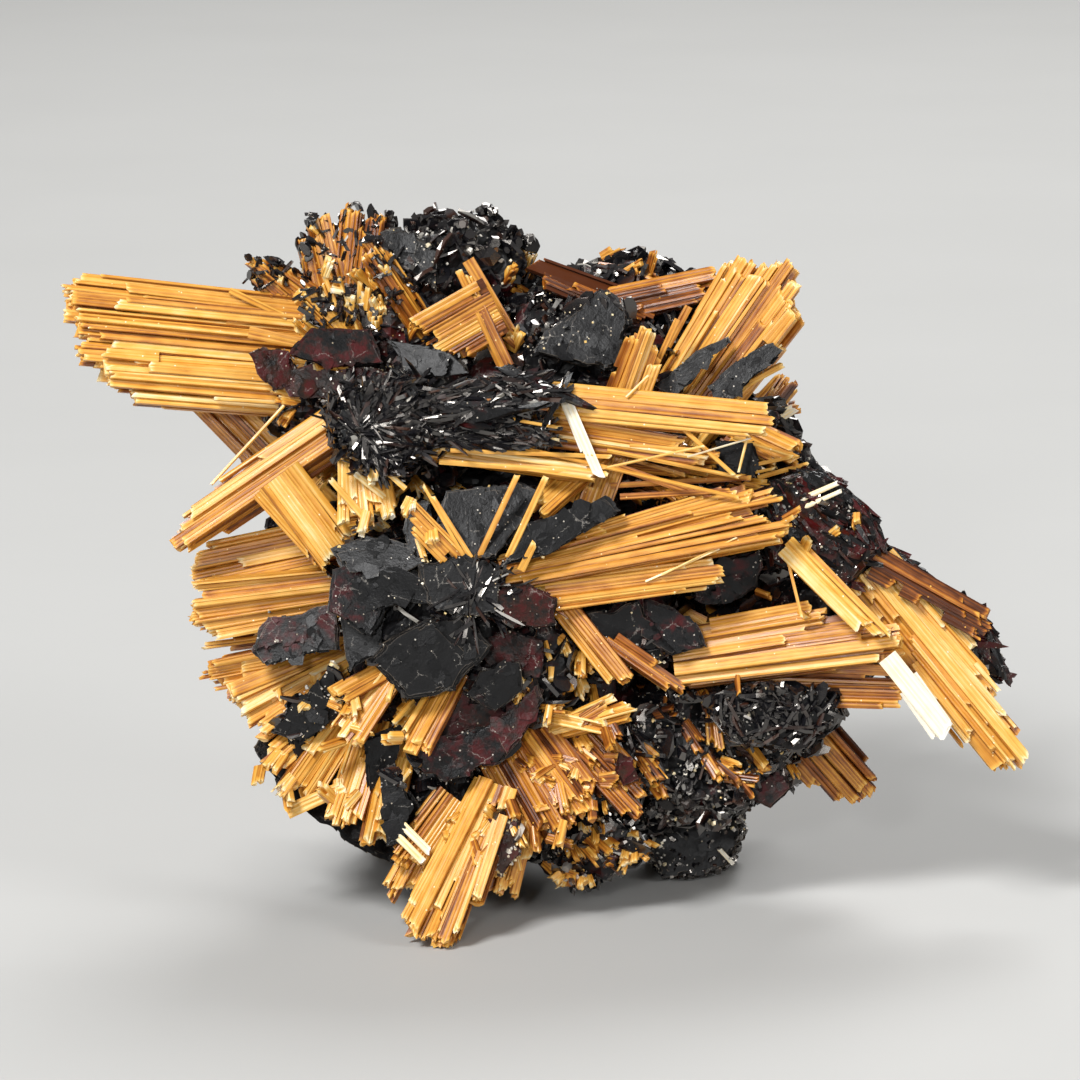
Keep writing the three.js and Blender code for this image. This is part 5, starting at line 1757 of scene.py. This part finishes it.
PLATES: list[Plate] = [
    Plate("hematite_front_rosette", [
        Leaf(-11.4, 1.4, (0.1, -0.16), [
            (-10, -6.4), (-7.2, -4.8), (-4.7, -4.6), (-2.9, -6.6), (-5.1, -9.6), (-8.4, -10.1), (-10.8, -7.6),
        ]),
        Leaf(-10.9, 2.2, (0, 0), [
            (-7.8, -1.4), (-4.6, -0.5), (-2.1, -1.8), (-2.5, -4.7), (-5.3, -5.2), (-7.5, -4),
        ]),
        Leaf(-9.9, 1.3, (-0.26, -0.06), [
            (-12.5, -2.4), (-8.7, -1.4), (-6.4, -2.4), (-6.6, -4), (-10.6, -4.5), (-12.6, -3.9),
        ]),
        Leaf(-9.7, 1.4, (-0.24, 0.16), [
            (-13.2, -0.5), (-11, 0.5), (-8, -0.2), (-6.6, -1.4), (-8.2, -2.2), (-12.2, -2.2),
        ]),
        Leaf(-10.6, 1.5, (0.26, 0), [
            (-2.9, -3), (-0.6, -2.7), (1.4, -3.6), (1.2, -5.4), (-1.9, -5.8), (-3.2, -4.6),
        ], 0.75),
        Leaf(-10.3, 1.2, (0.1, -0.24), [
            (-3.8, -8.2), (-1.2, -7.5), (-0.9, -9.4), (-2.8, -10.8), (-5, -9.7),
        ], 0.6),
        Leaf(-9.5, 1.1, (0, 0.3), [
            (-5.9, 3.1), (-1.2, 3.7), (0.3, 3.1), (-2.6, -1.4), (-5.3, -1.6), (-6.9, 0.6),
        ]),
        Leaf(-9.5, 1.1, (-0.1, 0.26), [(-8.4, 2.5), (-6.9, 2.5), (-6.1, -0.8), (-7.8, -1.5), (-8.7, 0.6)]),
        Leaf(-10.9, 1, (0.1, 0.1), [(-1.4, 0.8), (4.2, 2.9), (5.1, 1.8), (0.3, -1.1), (-2.8, -1.8)]),
    ], red=0.15),
    Plate("hematite_lower_red_plate", [
        Leaf(-8.9, 1, (0, -0.1), [
            (-8.3, -13.2), (-6.9, -12.2), (-2.8, -11.4), (-1.2, -12.6), (-2.5, -14), (-5.9, -15.2),
            (-7.6, -14.7),
        ]),
        Leaf(-9, 1, (0, 0), [(-3.4, -11.6), (0, -8.8), (0.3, -10), (-1.2, -12.6), (-2.2, -13.6)]),
    ], Slot.HEMATITE_RED, 0.6),
    Plate("hematite_middle_rosette", [
        Leaf(-8.4, 3.2, (0.05, 0.1), [
            (-13.4, 8.1), (-11.9, 9.7), (-7.5, 10), (-5.6, 7.5), (-7, 5.4), (-9.4, 3.8),
            (-11.2, 4.4), (-12.8, 5.9),
        ]),
        Leaf(-10, 0.9, (0, 0.15), [(-7, 9.3), (-1.2, 10.3), (1.4, 9.2), (1.2, 8.4), (-3.7, 7.5), (-7, 7.6)]),
        Leaf(-9.6, 0.9, (0, 0), [(-7, 7.7), (0.3, 7.2), (0.8, 6.2), (-0.6, 5.9), (-7, 6)]),
    ], red=0.1, flakes=1.0),
    Plate("hematite_upper_left_plates", [
        Leaf(-5, 0.9, (0.1, 0), [
            (-18.4, 11.8), (-17.4, 12.2), (-15.6, 11.9), (-14.8, 10), (-15.9, 9.2), (-16.6, 9), (-17.8, 10.3),
        ]),
        Leaf(-5.4, 0.9, (-0.1, 0), [
            (-16.6, 10.4), (-13.1, 11.4), (-9, 10.5), (-9.4, 9), (-13.1, 8.6), (-15.9, 8.9),
        ]),
    ], Slot.HEMATITE_RED, 0.7),
    Plate("hematite_top_left_plate", [
        Leaf(-2.6, 1, (0, 0.3), [(-10.3, 19.4), (-8.7, 19.6), (-6.2, 18), (-6.4, 15.4), (-9.2, 17.2)]),
    ], red=0.05),
    Plate("hematite_top_plate", [
        Leaf(-5.6, 1.2, (0, 0.3), [
            (-0.4, 11.7), (0, 13.1), (2.5, 14.8), (3.8, 15.9), (5.8, 14.7), (6, 13.6), (5.1, 10.9),
            (4.1, 10.4), (1.8, 11.1),
        ]),
    ], red=0.0, flakes=1.0),
    Plate("hematite_upper_right_plate_inner", [
        Leaf(-5.5, 0.8, (-0.1, 0.2), [
            (7.1, 9.6), (8.4, 9), (9.4, 9.7), (10.4, 11), (12, 12.4), (11.8, 12.8), (9.7, 11.8),
        ]),
    ], red=0.1),
    Plate("hematite_upper_right_plate_outer", [
        Leaf(-6, 0.9, (-0.1, 0.2), [
            (10.4, 9.6), (10.8, 8.4), (11.9, 8.9), (14.6, 11), (15.3, 11.9), (14.7, 12.6), (12.5, 11.4),
        ]),
    ], red=0.1),
    Plate("hematite_left_plate", [
        Leaf(-7.2, 1.1, (-0.12, 0.16), [
            (-17.3, -4.6), (-12.6, -3.8), (-12.2, -5.5), (-12.3, -6.9), (-17.4, -7.8), (-18.1, -6.9),
        ]),
        Leaf(-7.5, 0.7, (-0.12, 0.16), [(-18.1, -7), (-12.6, -5.7), (-12.4, -6.9), (-17.1, -7.9)], 0.0),
    ], red=0.55),
    Plate("hematite_lower_left_plate", [
        Leaf(-7, 1.1, (-0.16, -0.2), [
            (-12.9, -7.7), (-12.2, -9.4), (-12.5, -11.2), (-15.1, -12.9), (-17, -12.1), (-15.6, -10.1),
        ]),
    ], red=0.1),
    Plate("hematite_centre_right_plate", [
        Leaf(-7.4, 1.2, (0.16, -0.2), [
            (2.8, -4.5), (6.2, -3.6), (8.9, -6.6), (7.8, -7.8), (5.3, -8.1), (3.8, -6.9),
        ]),
    ], red=0.4),
    Plate("hematite_right_plate", [
        Leaf(-5.2, 1, (0.1, -0.2), [(8.9, -1.5), (13.9, -0.5), (14.1, -3.1), (11.4, -4.3), (9.4, -3.8)]),
    ], red=0.7),
    Plate("hematite_right_ridge", [
        Leaf(-4.5, 5, (0.1, 0), [
            (13.9, 3.4), (16.2, 4.5), (18.4, 3.8), (20.5, 1.9), (21.6, -0.5), (19.4, -3.1),
            (16.2, -1.8), (14.1, -1.3),
        ]),
        Leaf(-2.6, 2.2, (0, 0), [
            (18.8, 1.2), (21.9, -0.5), (25.6, -3.6), (28.1, -5.3), (29.3, -8.6), (28.2, -8.6),
            (24, -4.6), (19.6, -2.6),
        ]),
    ], Slot.HEMATITE_RED, 0.6),
    Plate("hematite_lower_right_druse", [
        Leaf(-5.4, 3, (0.14, -0.2), [
            (10.4, -10), (13.4, -9), (18.4, -9.5), (19.2, -10.9), (16.3, -12.9), (11.9, -12.5),
        ]),
    ], red=0.2),
    Plate("hematite_right_small_plate", [
        Leaf(-5.4, 1, (0, 0), [(10.9, 6.2), (13.4, 6.2), (14, 4.4), (12.6, 3.4), (11, 4.2)]),
    ], red=0.35),
    Plate("hematite_lower_left_blade", [
        Leaf(-9.2, 0.9, (0, 0), [(-10.1, -14.6), (-8.9, -14.4), (-8.1, -16.4), (-8.3, -19), (-9.6, -19.2)]),
    ], red=0.3),
    Plate("hematite_bottom_red_plate", [
        Leaf(-8.6, 1, (0, 0), [(-3.4, -16.9), (-1.3, -17.4), (-1.2, -19.6), (-2.4, -21.2), (-3.6, -19.4)]),
    ], Slot.HEMATITE_RED, 0.8),
    Plate("hematite_rear_plate", [
        Leaf(5.5, 5, (0, 0), [
            (6.6, -19.6), (8, -14.6), (12.2, -14.6), (12.9, -18.1), (12, -20.6), (9.9, -21.4), (7.4, -21.4),
        ]),
    ], red=0.05),
]

DRUSE_ZONES: list[DruseZone] = [
    DruseZone((-5, 19.2), (4.4, 2.4), 1.0, 0.3),
    DruseZone((-1.4, 14.4), (3.4, 2.4), 0.9, 0.28),
    DruseZone((-11.6, 15.2), (3.4, 2.6), 0.8, 0.24),
    DruseZone((-8.6, 11.6), (3.6, 1.6), 0.8, 0.24),
    DruseZone((17.6, 1.4), (5.4, 4.4), 0.7, 0.22),
    DruseZone((25, -4.4), (4.6, 3.4), 0.6, 0.2),
    DruseZone((14.6, -11), (4.6, 2.6), 0.9, 0.22),
    DruseZone((11, -15), (5.4, 4), 1.0, 0.3),
    DruseZone((3.4, -20.6), (3.4, 2.4), 1.0, 0.26),
    DruseZone((-4.6, -16.8), (2.6, 2.8), 0.9, 0.26),
    DruseZone((8.4, -9.6), (3.4, 2.6), 0.9, 0.24),
    DruseZone((15.4, 6.6), (1.6, 2), 0.9, 0.3),
    DruseZone((-14, -14.4), (3.6, 3.4), 0.5, 0.22),
]

TUFTS: list[Tuft] = [
    Tuft((-12.4, -12.6), (5.6, 5), (-0.5, -0.85), 27, (1.4, 2.6), (0.5, 1.2), 0.68),
    Tuft((1.2, -15.6), (5, 4), (0.57, -0.82), 40, (1.6, 3.4), (0.7, 1.7), 0.32),
    Tuft((3, -20), (4.4, 2.6), (0.3, -0.9), 30, (0.6, 1.5), (0.5, 1.1), 0.6, 0.8),
    Tuft((10.6, -12.8), (5.2, 3.6), (0.4, -0.9), 16, (1.2, 2.8), (0.5, 1.3), 0.3, 0.4),
    Tuft((-13, 16), (5, 4), (-0.4, 0.9), 40, (1, 2.4), (0.5, 1.2), 0.56, 0.5),
    Tuft((-4.4, 13.6), (4.4, 3), (-0.3, 0.9), 24, (0.8, 2), (0.4, 1), 0.4, 0.8),
    Tuft((4.8, 16.6), (7, 2), (0.4, 0.6), 30, (0.8, 1.8), (0.4, 0.9), 0.42, 0.9),
    Tuft((-12.6, 3.6), (4.4, 3.6), (-0.7, -0.6), 34, (1.2, 2.6), (0.4, 1), 0.66, 0.35),
    Tuft((-8, 1.6), (3.6, 2.6), (0.4, -0.9), 24, (1, 2.2), (0.4, 0.9), 0.8, 0.4),
    Tuft((10, 4.8), (3.8, 2.6), (1, 0.15), 24, (1.2, 2.6), (0.2, 0.6), 0.56, 0.3),
    Tuft((7.4, 3.9), (5.6, 2.4), (1, -0.14), 60, (2, 4.6), (0.25, 0.7), 0.34, 0.14),
    Tuft((8, -6.4), (5.4, 4), (0.6, -0.8), 30, (1.2, 3), (0.3, 0.9), 0.45, 0.5),
    Tuft((1.4, -9), (3.6, 3.6), (0.4, -0.8), 30, (0.8, 2), (0.3, 0.9), 0.7, 0.7),
    Tuft((-15.6, 7.6), (4, 2.6), (-0.9, 0.2), 20, (1.2, 2.6), (0.4, 1.1), 0.5, 0.4),
    Tuft((-13, -12.6), (5.6, 5), (-0.5, -0.85), 22, (0.8, 2), (0.3, 0.9), 0.76, 0.8, True),
    Tuft((-4, -19), (3.6, 3), (-0.3, -0.9), 10, (0.8, 2), (0.3, 0.8), 0.6, 0.6, True),
    Tuft((2, -15), (5, 4), (0.5, -0.85), 36, (0.8, 2.2), (0.3, 1), 0.4, 0.6, True),
    Tuft((10, -12), (6, 4), (0.5, -0.85), 9, (0.6, 1.6), (0.2, 0.7), 0.4, 0.7, True),
    Tuft((-13, 15), (4.6, 4.6), (-0.3, 0.9), 18, (0.5, 1.3), (0.2, 0.7), 0.8, 0.9, True),
    Tuft((17, -1), (5, 5), (0.8, -0.6), 10, (0.6, 1.6), (0.15, 0.4), 0.6, 0.7, True),
    Tuft((-8, 8), (7, 6), (-0.6, 0.7), 26, (2, 4.4), (0.8, 2), 0.52, 0.4, False, Side.BACK),
    Tuft((8, 8), (7, 5), (0.6, 0.7), 22, (2, 4), (0.8, 2), 0.5, 0.4, False, Side.BACK),
    Tuft((-9, -5), (7, 6), (-0.7, -0.5), 26, (2, 4.4), (0.8, 2), 0.56, 0.4, False, Side.BACK),
    Tuft((9, -4), (7, 6), (0.7, -0.5), 26, (2, 4), (0.8, 1.8), 0.46, 0.4, False, Side.BACK),
    Tuft((0, 0), (9, 9), (0.1, -0.9), 40, (0.8, 2.2), (0.4, 1.2), 0.6, 1.5, False, Side.BACK),
    Tuft((-9, 2), (3, 3), (-0.2, -0.9), 16, (0.8, 1.8), (0.3, 0.8), 0.8, 0.6, True),
    Tuft((17, -3), (6, 3.4), (0.7, -0.6), 26, (1, 2.4), (0.3, 0.8), 0.5, 0.5),
]

DARK_NODES = tuple(sorted(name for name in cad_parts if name.startswith("hematite")))

INNER_LEAVES = Plate("hematite_inner", [
    Leaf(-8.6, 0.8, (0.05, -0.1), [
        (-8.4, -9.4), (-4.8, -8.6), (-0.4, -7.8), (0.6, -9.4), (-1.6, -12.2), (-6.4, -12.6),
    ], 0.75),
    Leaf(-9.3, 0.7, (-0.2, -0.1), [(-4.4, -6.6), (-1.8, -5.4), (0.4, -6.2), (0.2, -8.8), (-2.2, -9.8)], 0.85),
    Leaf(-9.6, 0.7, (0.1, 0.2), [(-13, -1.8), (-9, -0.4), (-8.4, -3.4), (-10.6, -6.2), (-13.4, -4.6)], 0.5),
    Leaf(-8.9, 0.7, (-0.1, 0.1), [(-12.6, -4.4), (-9.4, -4), (-9.6, -7.4), (-12, -8.4)], 0.2),
    Leaf(-7.8, 0.7, (0.2, -0.2), [(-11.2, -12.4), (-8.6, -11.4), (-8.8, -15.4), (-10.8, -15.8)], 0.2),
    Leaf(-7.6, 0.8, (0.2, 0.1), [(6.4, -3.4), (9.6, -4.6), (10.6, -6.8), (8.2, -7.4), (6.2, -6)], 0.7),
    Leaf(-6.6, 0.8, (0.2, 0.3), [(-14.4, 13.4), (-10.6, 13.2), (-9.6, 11), (-13.2, 10.6), (-16, 11.6)], 0.6),
    Leaf(-6.2, 0.8, (-0.2, 0.3), [(-9.6, 12.6), (-5.6, 12), (-4.4, 10.4), (-8.4, 9.8)], 0.2),
    Leaf(-2.2, 1, (0.2, 0.2), [
        (-18.2, -12.8), (-16.6, -15.4), (-12.4, -18.8), (-8.4, -20.8), (-8, -18), (-12.6, -13),
        (-16.4, -11.4),
    ], 0.1),
    Leaf(-5.6, 0.8, (0.3, -0.1), [
        (-15.8, -12), (-13.4, -11.8), (-11.8, -14.4), (-13.4, -16.2), (-15.6, -14.6),
    ], 0.2),
    Leaf(-7.4, 0.8, (-0.2, 0.2), [(-10.6, -16.6), (-8.4, -15.2), (-7, -17.4), (-8, -20.4), (-9.8, -19)], 0.4),
    Leaf(-2.4, 2, (0, 0), [(12.8, -13.4), (15.2, -14), (15.8, -15.6), (14.4, -16.8), (12.6, -16)], 0.95),
    Leaf(-8.4, 0.8, (0.2, 0), [(4.9, -13.2), (5.8, -13.6), (6.2, -15), (5.2, -15.4), (4.6, -14.4)], 0.95),
], red=0.5, seed=60, whole=False)

BODY_LEAVES = Plate("hematite_body", [
    Leaf(13.6, -1.8, (0.4, -0.35), [(-8, 3.5), (-5.4, 7.6), (-1.6, 7), (-1.6, 3), (-5, 0.6)]),
    Leaf(15, -1.6, (0.1, -0.5), [(1.8, 8), (6.2, 8.4), (7.6, 4.4), (4, 2), (1, 4.4)]),
    Leaf(15.8, -1.8, (0.05, 0.25), [(-3.9, -2.2), (0.8, -0.8), (2.2, -5.4), (-1, -8.2), (-4.2, -5.4)]),
    Leaf(14.6, -1.6, (-0.5, 0.25), [(6, -3), (12, -1), (13.4, -6), (9, -9), (5, -7)]),
    Leaf(11.6, -1.6, (0.5, 0.1), [(-10.4, -3), (-7.4, -2), (-6.6, -6.4), (-9, -7.6), (-10.6, -5.8)]),
    Leaf(7.4, -1.6, (-0.5, -0.2), [(10, 10), (15, 8.6), (17, 4), (13, 2.6), (9.6, 6)]),
    Leaf(6.2, -1.4, (0.1, -0.4), [(-12, 15.6), (-7, 18.6), (-3, 17), (-5, 13), (-10, 12.6)]),
    Leaf(5.8, -1.5, (-0.15, -0.5), [(0, 16.6), (6, 18), (11, 15), (7, 12.6), (1, 13)]),
    Leaf(4.4, -1.5, (-0.4, 0.2), [(14, -6), (19, -4), (21.4, -8), (18, -11.4), (14, -10)]),
], red=0.35, seed=40, whole=False)

# Where the grit and its painted glints are thick.
GRIT_AND_GLINT_ZONES: list[DruseZone] = [
    DruseZone((-5, 18.6), (5, 3), 0.5, 0.09),
    DruseZone((-10.4, 7.6), (4, 3.4), 0.9, 0.09),
    DruseZone((-3, 8.4), (5, 2.2), 0.9, 0.08),
    DruseZone((-12, 14), (5, 4.4), 0.8, 0.09),
    DruseZone((0, 14.6), (5, 3), 0.5, 0.08),
    DruseZone((17.4, 1.6), (5.4, 4), 1.0, 0.09),
    DruseZone((22.4, -1.4), (4, 3), 0.9, 0.09),
    DruseZone((26.6, -5.4), (3.6, 3), 0.8, 0.09),
    DruseZone((-3.8, -3.6), (2.2, 2), 0.6, 0.07),
    DruseZone((15, -11), (5, 2.6), 1.0, 0.1),
    DruseZone((10.4, -14), (6.4, 4.4), 1.0, 0.13),
    DruseZone((2, -19.6), (6, 3.4), 1.0, 0.12),
    DruseZone((8, -8.6), (3.4, 2.6), 1.0, 0.12),
    DruseZone((-13, -13), (5, 5), 0.6, 0.09),
    DruseZone((-5, -15.6), (3, 2), 0.5, 0.07),
    DruseZone((-4.4, -4), (6, 5), 0.1, 0.06),
]

DRUSES: list[Druse] = [
    Druse("druse_on_body", ["hematite_body"], 12500, DRUSE_ZONES, everywhere=0.22),
    Druse(
        "druse_on_plates",
        [
            "hematite_middle_rosette", "hematite_right_ridge", "hematite_lower_right_druse",
            "hematite_rear_plate",
        ],
        3000, everywhere=1.0, size=0.15, seed=2,
    ),
    # Grit: small crystals whose high tones paint them grey and white, partly dust and partly painted glints;
    # the golden grit paints cream and white glints the same way.
    Druse(
        "grit_and_painted_glints", DARK_NODES, 24000, GRIT_AND_GLINT_ZONES, everywhere=0.03, size=0.06, seed=3, tone=(0.84, 1.2),
        corners=4,
    ),
    Druse(
        "golden_grit_and_painted_glints", DARK_NODES, 9000, GRIT_AND_GLINT_ZONES, everywhere=0.02, size=0.08, seed=5, tone=(0.5, 1.2),
        corners=4, slot=Slot.PALE,
    ),
]

STANDING: list[StandingFlakes] = [
    StandingFlakes(
        "flakes_on_middle_rosette", ["hematite_middle_rosette"], 1300, centre=(-11.4, 6.6, -8),
        length=(0.4, 1.7), height=(0.08, 0.34), wander=0.3, lying=0.55, seed=1,
    ),
    StandingFlakes(
        "flakes_on_ridge", ["hematite_right_ridge"], 700, way=(0.8, -0.6), length=(0.4, 1.5),
        height=(0.1, 0.28), thick=(0.08, 0.2), red=(0.0, 0.9), slot=Slot.HEMATITE_RED, seed=2, lying=0.9,
    ),
    StandingFlakes("flakes_on_druse", ["hematite_lower_right_druse"], 260, seed=3, red=(0.1, 0.7)),
    StandingFlakes("flakes_on_body", ["hematite_body"], 3000, length=(0.4, 1.3), height=(0.3, 0.8), seed=4),
    StandingFlakes(
        "flakes_among_sheaves", DARK_NODES, 9000, length=(0.3, 1.1), height=(0.2, 0.55), seed=5, zones=[
            DruseZone((-12, 15), (5, 4.4), 0.6), DruseZone((-4, 13), (4, 2.6), 0.6),
            DruseZone((7, 16), (7, 2), 0.6),
            DruseZone((-13, -12), (5.4, 5), 0.4), DruseZone((3, -16), (6, 5), 0.5),
            DruseZone((12, -13), (7, 5), 0.9), DruseZone((8, -8), (4, 4), 0.6),
        ],
    ),
    StandingFlakes(
        "blades_on_middle_rosette", ["hematite_middle_rosette"], 90, centre=(-12.4, 7.4, -8),
        length=(1.6, 3.8), height=(0.2, 0.5), thick=(0.08, 0.16), red=(0.0, 0.5), wander=0.12, lying=0.9,
        seed=8, slot=Slot.HEMATITE_RED, zones=[DruseZone((-3, 8), (5, 2.4), 1.0)],
    ),
    StandingFlakes(
        "flakes_on_front_rosette", ["hematite_front_rosette"], 900, centre=(-4.2, -3.4, -10),
        length=(0.4, 1.5), height=(0.05, 0.16), wander=0.25, lying=0.75, seed=7,
        zones=[DruseZone((-3.9, -3.6), (2.6, 2.4), 0.9)],
    ),
    StandingFlakes(
        "flakes_over_top_left",
        ["rutile_top_left_prisms", "rutile_upper_left_pale", "rutile_upper_left_orange"],
        360, length=(0.25, 0.8), height=(0.1, 0.3), seed=6,
    ),
]

# Blades with a tone above about 1.05 run from cream into the painted highlight white: a painted glare on
# their flat faces.
BLADES: list[Blade] = [
    Blade((-4.5, 17.5, -9), (-1.4, 12.3, -9), 0.8, 0.42, 0.3),
    Blade((-4.4, 8.0, -14), (1.3, 7.0, -14), 0.2, 0.72),
    Blade((-5.3, 7.2, -14), (1.3, 6.2, -14), 0.3, 0.9),
    Blade((-3.7, 8.8, -14), (0.9, 8.1, -14), 0.24, 0.3),
    Blade((-6.2, 5.8, -14), (3.1, 4.5, -14), 0.36, 0.95),
    Blade((-18.2, 13.0, -12), (-12.2, 11.7, -12), 0.75, 0.48),
    Blade((1.45, 9.1, -10.6), (3.75, 3.9, -10.9), 0.75, 1.4),
    Blade((21.7, -7.3, -8.4), (25.5, -12.1, -9.0), 1.25, 1.4),
    Blade((-2.6, 6.1, -9.9), (12.6, 2.6, -9.2), 0.24, 0.6),
    Blade((-6.3, 4.9, -10.6), (3.8, 4.1, -10.8), 0.34, 0.72),
    Blade((-5.6, 5.6, -10.4), (4.6, 5.2, -10.2), 0.26, 0.62),
    Blade((4.4, 3.4, -8.8), (13.4, 3.9, -8.4), 0.34, 0.36),
    Blade((5.0, 2.7, -8.8), (12.0, 3.1, -8.6), 0.4, 0.3),
    Blade((6.2, 5.0, -8.6), (13.9, 3.3, -8.3), 0.3, 0.42),
    Blade((4.8, 4.6, -8.2), (11.4, 2.3, -8.6), 0.46, 0.34),
    Blade((12.1, 6.4, -8.8), (15.9, 5.2, -8.5), 0.22, 0.7),
    Blade((13.0, 6.6, -8.8), (12.4, 4.2, -8.9), 0.18, 0.9),
    Blade((9.6, 1.6, -9.2), (15.2, 2.6, -8.8), 0.3, 0.5),
    Blade((-8.4, 3.2, -10.4), (-10.2, 4.8, -10.6), 0.34, 0.9),
    Blade((-9.4, 2.4, -10.4), (-11.6, 4.2, -10.6), 0.4, 0.95),
    Blade((-10.8, 1.2, -10), (-13.2, 3.9, -10.2), 0.44, 0.8),
    Blade((-3.8, -1.0, -11.4), (-1.4, 4.1, -11.9), 0.36, 0.58),
    Blade((-2.0, -1.1, -11.6), (0.4, 4.0, -12.0), 0.42, 0.66),
    Blade((-4.3, -1.1, -11.5), (-6.75, 2.8, -11.6), 0.3, 0.6),
    Blade((-4.6, -1.3, -11.5), (-7.4, 3.6, -11.4), 0.22, 0.66),
    Blade((-1.2, -1.9, -11.8), (-0.3, -0.1, -12.4), 0.5, 0.66),
    Blade((9, 6.9, -9.6), (12.3, 3.9, -9.4), 0.28, 0.64),
    Blade((16.2, 2.5, -8.1), (18.7, 3.6, -8.6), 0.34, 1.3),
    Blade((16.4, 2.0, -8.1), (18.9, 3.1, -8.6), 0.3, 1.3),
    Blade((6.6, -2.6, -10.6), (11.3, -0.5, -10.8), 0.16, 0.95),
    Blade((7.6, -2.2, -10.6), (12.4, 0.2, -10.6), 0.12, 0.9),
    Blade((15.4, -0.9, -8), (16.4, -5, -8.8), 0.2, 0.66),
    Blade((-19.4, 15.6, -4.8), (-15.8, 13.9, -4.6), 0.4, 0.6),
    Blade((-19.6, 13.6, -5), (-14.8, 13.8, -4.8), 0.3, 0.66),
    Blade((-16, 8.4, -7), (-20.6, 3.4, -8), 0.2, 0.7),
    Blade((5.4, 8.9, -9.4), (6.9, 10.4, -9.2), 0.2, 0.7),
    Blade((9.3, 14.6, -5.6), (7.6, 11.4, -5.2), 0.5, 0.42),
    Blade((8.6, 13.8, -5.6), (7.2, 10.8, -5.2), 0.4, 0.46),
    Blade((4.2, 5.6, -9.8), (12.6, 3.9, -9.9), 0.26, 0.7),
    Blade((3.6, 4.4, -9.6), (10.4, 5.9, -9.4), 0.16, 0.8),
    Blade((5.6, 5.9, -9.3), (10.1, 5.6, -9.4), 0.3, 0.6),
    Blade((9.2, 5.2, -9.5), (13.3, 6.4, -9.4), 0.12, 1.3),
    Blade((5.1, 5.2, -9.4), (9.2, 4.0, -9.6), 0.26, 0.5),
    Blade((13.6, 3.9, -8.6), (16.9, 4.8, -8.2), 0.3, 0.66),
    Blade((12.9, 4.6, -8.4), (15.8, 5.2, -8.2), 0.24, 0.6),
    Blade((10.4, 3.6, -9.4), (14.8, 4.5, -8.8), 0.22, 0.7),
    Blade((14.8, 7.6, -5.4), (16.0, 8.3, -5.4), 0.7, 1.3),
    Blade((10.2, -18.2, 2.6), (12.2, -20.4, 2.6), 0.3, 1.45),
    Blade((-9.1, -18.3, -12.2), (-7.2, -20.2, -12.4), 0.5, 1.15),
    Blade((-8.6, -17.8, -12.2), (-6.8, -19.6, -12.4), 0.5, 1.3),
    Blade((-15.8, -17.0, -6.6), (-12.2, -15.4, -7.4), 0.9, 0.8),
]


def main() -> None:
    """Build the specimen piece by piece, then the studio."""
    logging.basicConfig(level=logging.INFO, format="%(name)s %(message)s")
    effects = SharedEffects.build()
    materials = {
        Slot.GOLD: RutileFinish("golden rutile").material(effects),
        Slot.PALE: RutileFinish("pale rutile", roughness=0.26).material(effects),
        Slot.AMBER: RutileFinish("amber rutile", roughness=0.3).material(effects),
        Slot.HEMATITE: HematiteFinish("black hematite").material(effects),
        Slot.HEMATITE_RED: HematiteFinish("dark red hematite", redness=0.34, roughness=0.3).material(effects),
    }
    bright = DruseFinish("bright druse").material(effects)
    for k, (name, sheaves) in enumerate(SHEAVES.items()):
        Spray("rutile_" + name, sheaves, SHEAF_SLOTS.get(name, Slot.GOLD), k).dress(materials)
    for k, plate in enumerate(PLATES):
        plate.seed = k
        plate.dress(materials)
    Body().dress(materials)
    for druse in DRUSES:
        druse.dress(materials[Slot.PALE] if druse.slot is Slot.PALE else bright)
    BODY_LEAVES.dress(materials)
    INNER_LEAVES.dress(materials)
    glossy = DruseFinish("glossy flakes", roughness=0.2, index=1.9).material(effects)
    for standing in STANDING:
        standing.dress(materials[standing.slot] if standing.slot is Slot.HEMATITE_RED else glossy)
    SmallSheaves("small_sheaves", TUFTS, ["hematite_body"]).dress(materials[Slot.GOLD])
    SingleBlades("single_blades", BLADES).dress(materials[Slot.GOLD])
    Studio().build()
    boxes = {"cad": CAD_BOX, "visual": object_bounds()}
    {name: [list(corner) for corner in box] for name, box in boxes.items()}


if __name__ == "__main__":
    main()
